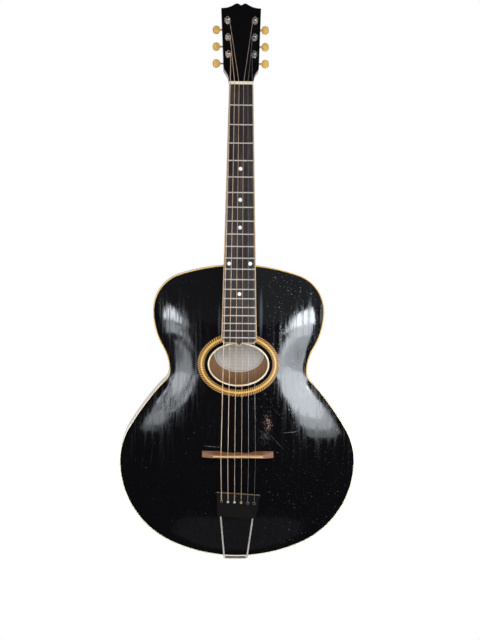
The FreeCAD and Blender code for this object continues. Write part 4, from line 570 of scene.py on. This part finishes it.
def copy_on_head(model, name, spot, turn=0.0, shift=0.0):
    """A copy of a model with its own mesh, tilted with the peghead, turned and shifted along its post."""
    bpy.ops.object.select_all(action="DESELECT")
    model.select_set(True)
    bpy.context.view_layer.objects.active = model
    bpy.ops.object.duplicate()
    copy = bpy.context.object
    copy.name = name
    copy.matrix_world = (Matrix.Translation(spot) @ HEAD_TILT.to_4x4() @ Matrix.Rotation(turn, 4, "Z")
                         @ Matrix.Translation((0, shift, 0)))
    bpy.ops.object.transform_apply()
    return copy


bpy.ops.mesh.primitive_uv_sphere_add(segments=32, ring_count=16, radius=TIP_RADIUS)
domed_tip = bpy.context.object
domed_tip.scale.y = TIP_FLATNESS
bpy.ops.object.transform_apply()
bpy.ops.object.shade_smooth()
domed_tip.data.materials.append(post_look.data)
for name in STRING_NAMES:
    dress(post_look, "post_" + name)
    tip = copy_on_head(domed_tip, "post_tip_" + name, post_places[name], shift=TIP_LEVEL)
    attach(tip, name + "_winder")
bpy.data.objects.remove(domed_tip)

bpy.ops.object.select_all(action="DESELECT")
bpy.ops.mesh.primitive_cylinder_add(vertices=24, radius=COLLAR_RADIUS, depth=COLLAR_LENGTH,
                                    location=(COLLAR_SUNK - BUTTON_HALF.x, 0, 0),
                                    rotation=(0, math.radians(90), 0))
collar = bpy.context.object
bpy.ops.object.transform_apply()
bpy.ops.mesh.primitive_cube_add(size=2)
pressed_button = bpy.context.object
bpy.ops.object.mode_set(mode="EDIT")
bpy.ops.mesh.select_all(action="SELECT")
bpy.ops.mesh.subdivide(number_cuts=15)
bpy.ops.object.mode_set(mode="OBJECT")
cast = pressed_button.modifiers.new("round", "CAST")
cast.factor = BUTTON_ROUNDNESS
bpy.ops.object.modifier_apply(modifier="round")
for axis, half in enumerate(BUTTON_HALF):
    pressed_button.scale[axis] = half / max(vertex.co[axis] for vertex in pressed_button.data.vertices)
bpy.ops.object.transform_apply(location=False)
collar.select_set(True)
bpy.ops.object.join()
bpy.ops.object.shade_smooth_by_angle(angle=math.radians(50))
pressed_button.data.materials.clear()
pressed_button.data.materials.append(button_look.data)
for name in STRING_NAMES:
    dress(nickel_look, "worm_shaft_" + name)
    dress(brass_look, "gear_" + name)
    spot = button_places[name]
    button = copy_on_head(pressed_button, "shaped_button_" + name, spot, turn=math.pi if spot.x < 0 else 0.0)
    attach(button, name + "_key")
    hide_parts("button_" + name)
bpy.data.objects.remove(pressed_button)
bpy.ops.object.select_all(action="DESELECT")


# The strings: four wound with bronze over a steel core and two of plain steel. Each ends in
# a twisted loop on its pin, crosses the saddle and the nut, and winds three times round its
# post; its cut end sticks out of the post's eye and turns with the post.
MM = 0.001
WINDINGS = 21000
wound_look = worn_metal("wound_bronze", (0.94, 0.72, 0.57), (0.74, 0.53, 0.39), 0.34)
ridge = wound_look.sine(wound_look.part(wound_look.place(), "Z") * WINDINGS)
wound_look.paint(Normal=wound_look.bump(ridge, 0.6, 0.00008), Metallic=0.5)
plain_look = worn_metal("plain_steel", (0.66, 0.66, 0.67), (0.40, 0.39, 0.38), 0.25)
plain_look.paint(Metallic=0.7)


def wire(name, runs):
    """Round wires in one mesh: each run is a thickness and the points of its middle line."""
    bpy.ops.curve.primitive_nurbs_path_add()
    made = bpy.context.object
    made.name = name
    made.data.splines.clear()
    for thick, points in runs:
        run = made.data.splines.new("POLY")
        run.points.add(len(points) - 1)
        for knot, point in zip(run.points, points):
            knot.co = (*point, 1.0)
            knot.radius = thick / 2
    made.data.bevel_depth = 1.0
    made.data.bevel_resolution = 4
    made.data.use_fill_caps = True
    bpy.ops.object.convert(target="MESH")
    bpy.ops.object.shade_smooth_by_angle(angle=math.radians(60))
    return made


def rounded(before, corner, after, reach):
    """Points of a soft bend that starts and ends at a reach from its corner."""
    enter = corner + (before - corner).normalized() * reach
    leave = corner + (after - corner).normalized() * reach
    return [enter.lerp(corner, step / 6).lerp(corner.lerp(leave, step / 6), step / 6) for step in range(7)]


STRING_THICKNESS = (1.35 * MM, 1.07 * MM, 0.81 * MM, 0.61 * MM, 0.41 * MM, 0.30 * MM)
PLAIN_STRINGS = ("b", "high_e")
PLATE_FACE = 2.35 * MM
PIN_EDGE = 1.6 * MM
SADDLE_SPACING = 11.68 * MM
SADDLE_ROOM = 0.1 * MM
SADDLE_BEND = 0.4 * MM
BOARD_END = Vector((0.0, -12.0 * MM, -15.0 * MM))
NECK_TURN = Matrix.Rotation(math.radians(-3.5), 3, "X")
NUT_SPACING = 7.48 * MM
NUT_SLOT = 0.9 * MM
NUT_MIDDLE = 1.5 * MM
NUT_BEND = 0.9 * MM
COIL_INNER = 3.25 * MM
COIL_START = 1.7 * MM
COIL_TURNS = 3
COIL_GAP = 0.5 * MM
TURN_STEPS = 36
TWIST_WIRE = 0.30 * MM
TWIST_START = 1.2 * MM
TWIST_PITCH = 0.62 * MM
TWIST_ROOM = 0.10 * MM
TWIST_TURNS = 13
TWIST_STEPS = 12
LOOP_WIRE = 0.34 * MM
LOOP_LEVEL = -3.05 * MM
LOOP_RADIUS = 1.85 * MM
LOOP_STEPS = 24
EYE_LEVEL = -10.5 * MM
THICKEST_END = 0.9 * MM
CUT_END = ((5.2, 0.0, 1.2), (4.2, 0.0, 0.3), (3.4, 0.0, 0.0), (-3.3, 0.0, 0.0), (-3.9, 0.15, 0.1),
           (-4.2, 0.6, 0.5))
for count, (name, thick) in enumerate(zip(STRING_NAMES, STRING_THICKNESS)):
    look = plain_look if name in PLAIN_STRINGS else wound_look
    aside = count - 2.5
    post = post_places[name]
    side = math.copysign(1.0, post.x)
    pin_middle = plate_middle + plate_axes @ Vector((aside * PIN_SPACING, 0, PIN_ROW))
    pin = pin_middle + plate_axes @ Vector((0, -PLATE_FACE - thick / 2, PIN_EDGE))
    saddle = CREST + Vector((aside * SADDLE_SPACING, -SADDLE_ROOM - thick / 2, 0))
    nut = BOARD_END + NECK_TURN @ Vector((aside * NUT_SPACING, -NUT_SLOT - thick / 2, NUT_MIDDLE))

    home = HEAD_TILT.inverted() @ (nut - post)
    radius = COIL_INNER + thick / 2
    toward = math.atan2(home.z, home.x)
    spread = math.acos(radius / math.hypot(home.x, home.z))
    sense = min((1, -1), key=lambda way: side * math.cos(toward + way * spread))
    coil = []
    for step in range(COIL_TURNS * TURN_STEPS + 1):
        turned = step / TURN_STEPS
        swing = toward + sense * (spread + math.tau * turned)
        level = -COIL_START - thick / 2 - (thick + COIL_GAP) * turned
        coil.append(post + HEAD_TILT @ Vector((radius * math.cos(swing), level, radius * math.sin(swing))))
    course = [pin] + rounded(pin, saddle, nut, SADDLE_BEND) + rounded(saddle, nut, coil[0], NUT_BEND) + coil

    along = (saddle - pin).normalized()
    right = along.cross(Vector((0, 1, 0))).normalized()
    front = along.cross(right)
    out = thick / 2 + TWIST_ROOM
    twist = []
    for step in range(TWIST_TURNS * TWIST_STEPS + 1):
        turned = step / TWIST_STEPS
        round_string = right * math.cos(math.tau * turned) + front * math.sin(math.tau * turned)
        twist.append(pin + along * (TWIST_START + TWIST_PITCH * turned) + round_string * out)

    loop_middle = pin_middle + plate_axes @ Vector((0, LOOP_LEVEL, 0))
    loop = []
    for step in range(LOOP_STEPS + 1):
        swing = math.tau * step / LOOP_STEPS
        loop.append(loop_middle + plate_axes @ Vector((math.sin(swing), 0, math.cos(swing))) * LOOP_RADIUS)

    string = wire("strung_" + name, [(thick, course), (TWIST_WIRE, twist), (LOOP_WIRE, loop)])
    string.data.materials.append(look.data)
    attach(string, "guitar")
    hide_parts("string_" + name)

    eye = post + HEAD_TILT @ Vector((0, EYE_LEVEL, 0))
    end = [eye + HEAD_TILT @ Vector((side * x, y, z)) * MM for x, y, z in CUT_END]
    stub = wire("cut_end_" + name, [(min(thick, THICKEST_END), end)])
    stub.data.materials.append(look.data)
    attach(stub, name + "_winder")
    bpy.ops.object.select_all(action="DESELECT")


# The studio: a pale paper floor under the hanging guitar, panels of soft light on both sides
# in front of it, large soft fills before and behind it, and a white backdrop in a dim room.
FLOOR_LEVEL = -0.875
FLOOR_WIDE = 8.0
FLOOR_DEEP = 6.0
FLOOR_FRONT = -0.10
RAYS_SEEN = ("Is Camera Ray", "Is Glossy Ray", "Is Transmission Ray")
bpy.ops.mesh.primitive_plane_add(size=1, location=(0, FLOOR_FRONT + FLOOR_DEEP / 2, FLOOR_LEVEL))
floor = bpy.context.object
floor.name = "floor"
floor.scale = (FLOOR_WIDE, FLOOR_DEEP, 1.0)
bpy.ops.object.transform_apply()


def either(look, first, second):
    """1 where one mask or the other is 1."""
    return look.node("Math", {"operation": "ADD", "use_clamp": True}, {0: first, 1: second})


floor_look = Look("pale_floor")
away = floor_look.length(floor_look.place(centre=(0, 0, FLOOR_LEVEL)))
paper = floor_look.noise(floor_look.place(), 60, detail=3)
glow = floor_look.blend(floor_look.step(away, 0.2, 2.5), (0.92, 0.92, 0.92), (0.98, 0.98, 0.98))
direct, mirrored, through = [floor_look.node("LightPath", {}, {}, out=ray) for ray in RAYS_SEEN]
seen = either(floor_look, direct, either(floor_look, mirrored, through))
floor_look.paint(Base_Color=floor_look.blend(paper, (0.29, 0.29, 0.29), (0.31, 0.31, 0.31)), Roughness=0.9,
                 Specular_IOR_Level=0.0, Emission_Color=floor_look.blend(seen, (0, 0, 0), glow),
                 Emission_Strength=1.0)
floor.data.materials.append(floor_look.data)

ROOM_LIGHT = 0.05
sky = Look("studio", sky=True)
direct, mirrored, through = [sky.node("LightPath", {}, {}, out=ray) for ray in RAYS_SEEN]
backward = sky.part(sky.node("TexCoord", {}, {}, out="Generated"), "Y")
backdrop = sky.node("MapRange", {"interpolation_type": "SMOOTHSTEP"},
                    {"Value": backward, "From Min": -0.3, "From Max": 0.5, "To Min": 0.03, "To Max": 1.0})
shown = either(sky, direct, either(sky, mirrored, through) * backdrop)
sky.paint(Color=(1, 1, 1), Strength=shown.math("MAXIMUM", shown, ROOM_LIGHT))
bpy.context.scene.world = sky.data


def panel(name, left, right, low, high, front, radiance, colour=(0.88, 0.94, 1.0)):
    """A rectangular lamp standing in front of the guitar and shining straight back."""
    place = ((left + right) / 2, -front, (low + high) / 2)
    bpy.ops.object.light_add(type="AREA", location=place, rotation=(math.radians(90), 0, 0))
    lamp = bpy.context.object
    lamp.name = name
    lamp.visible_camera = False
    lamp.data.shape = "RECTANGLE"
    lamp.data.size = right - left
    lamp.data.size_y = high - low
    lamp.data.energy = radiance * (right - left) * (high - low) * math.pi
    lamp.data.color = colour
    return lamp


SIDE_PANELS = 0.5
for name, left, right, low, high, radiance in (
        ("left_upper_panel", -0.264, -0.240, -0.438, -0.362, 22.0),
        ("left_strip", -0.290, -0.258, -0.497, -0.438, 8.0),
        ("left_middle_panel", -0.650, -0.308, -0.492, -0.395, 10.5),
        ("left_lower_panel", -0.650, -0.297, -0.537, -0.492, 5.5),
        ("left_foot_panel", -0.650, -0.310, -0.562, -0.537, 2.5),
        ("right_upper_panel", 0.266, 0.322, -0.453, -0.378, 28.0),
        ("right_outer_panel", 0.322, 0.650, -0.453, -0.378, 16.0),
        ("right_middle_panel", 0.286, 0.650, -0.507, -0.453, 15.0),
        ("right_lower_panel", 0.286, 0.650, -0.552, -0.507, 8.5),
        ("right_foot_panel", 0.300, 0.650, -0.587, -0.552, 3.0),
        ("high_right_panel", 0.050, 0.262, -0.383, -0.033, 0.30),
        ("high_left_panel", -0.238, -0.030, -0.383, -0.033, 0.10)):
    panel(name, left, right, low, high, SIDE_PANELS, radiance)
for step, high in enumerate((-0.978, -0.993, -1.008, -1.023, -1.035)):
    shorter = 0.010 * step
    panel("low_panel_%d" % step, shorter - 0.190, 0.250 - shorter, -1.085, high, SIDE_PANELS, 0.14)

FILL_AWAY = 3.4
FILL_COLOUR = (1.0, 0.98, 0.95)
front_fill = panel("front_fill", -0.9, 0.6, -1.1, 0.4, FILL_AWAY, 9.2, FILL_COLOUR)
rear_fill = panel("rear_fill", -0.9, 0.9, -0.9, 0.9, -FILL_AWAY, 6.0, FILL_COLOUR)
rear_fill.rotation_euler.x = math.radians(-90)
bpy.ops.object.light_add(type="AREA", location=(0, -0.9, 1.9), rotation=(math.radians(22), 0, 0))
overhead = bpy.context.object
overhead.name = "overhead_panel"
overhead.visible_camera = False
overhead.data.size = 1.8
overhead.data.energy = 14.0
for lamp in (front_fill, rear_fill, overhead):
    lamp.visible_glossy = False

EYE = (-0.1462, -4.1070, -0.2746)
EYE_SWING = -2.076
EYE_NOD = -1.971
EYE_ROLL = -0.636
FILM_HIGH = 36.0
LENS = 135.28
bpy.ops.object.camera_add(location=EYE)
camera = bpy.context.object
turn = Matrix.Identity(3)
for angle, axis in ((EYE_SWING, "Z"), (EYE_NOD, "X"), (EYE_ROLL, "Y"), (90.0, "X")):
    turn = turn @ Matrix.Rotation(math.radians(angle), 3, axis)
camera.rotation_euler = turn.to_euler()
camera.data.sensor_width = FILM_HIGH
camera.data.lens = LENS
camera.data.clip_end = 50.0
bpy.context.scene.camera = camera
bpy.context.scene.view_settings.view_transform = "Standard"
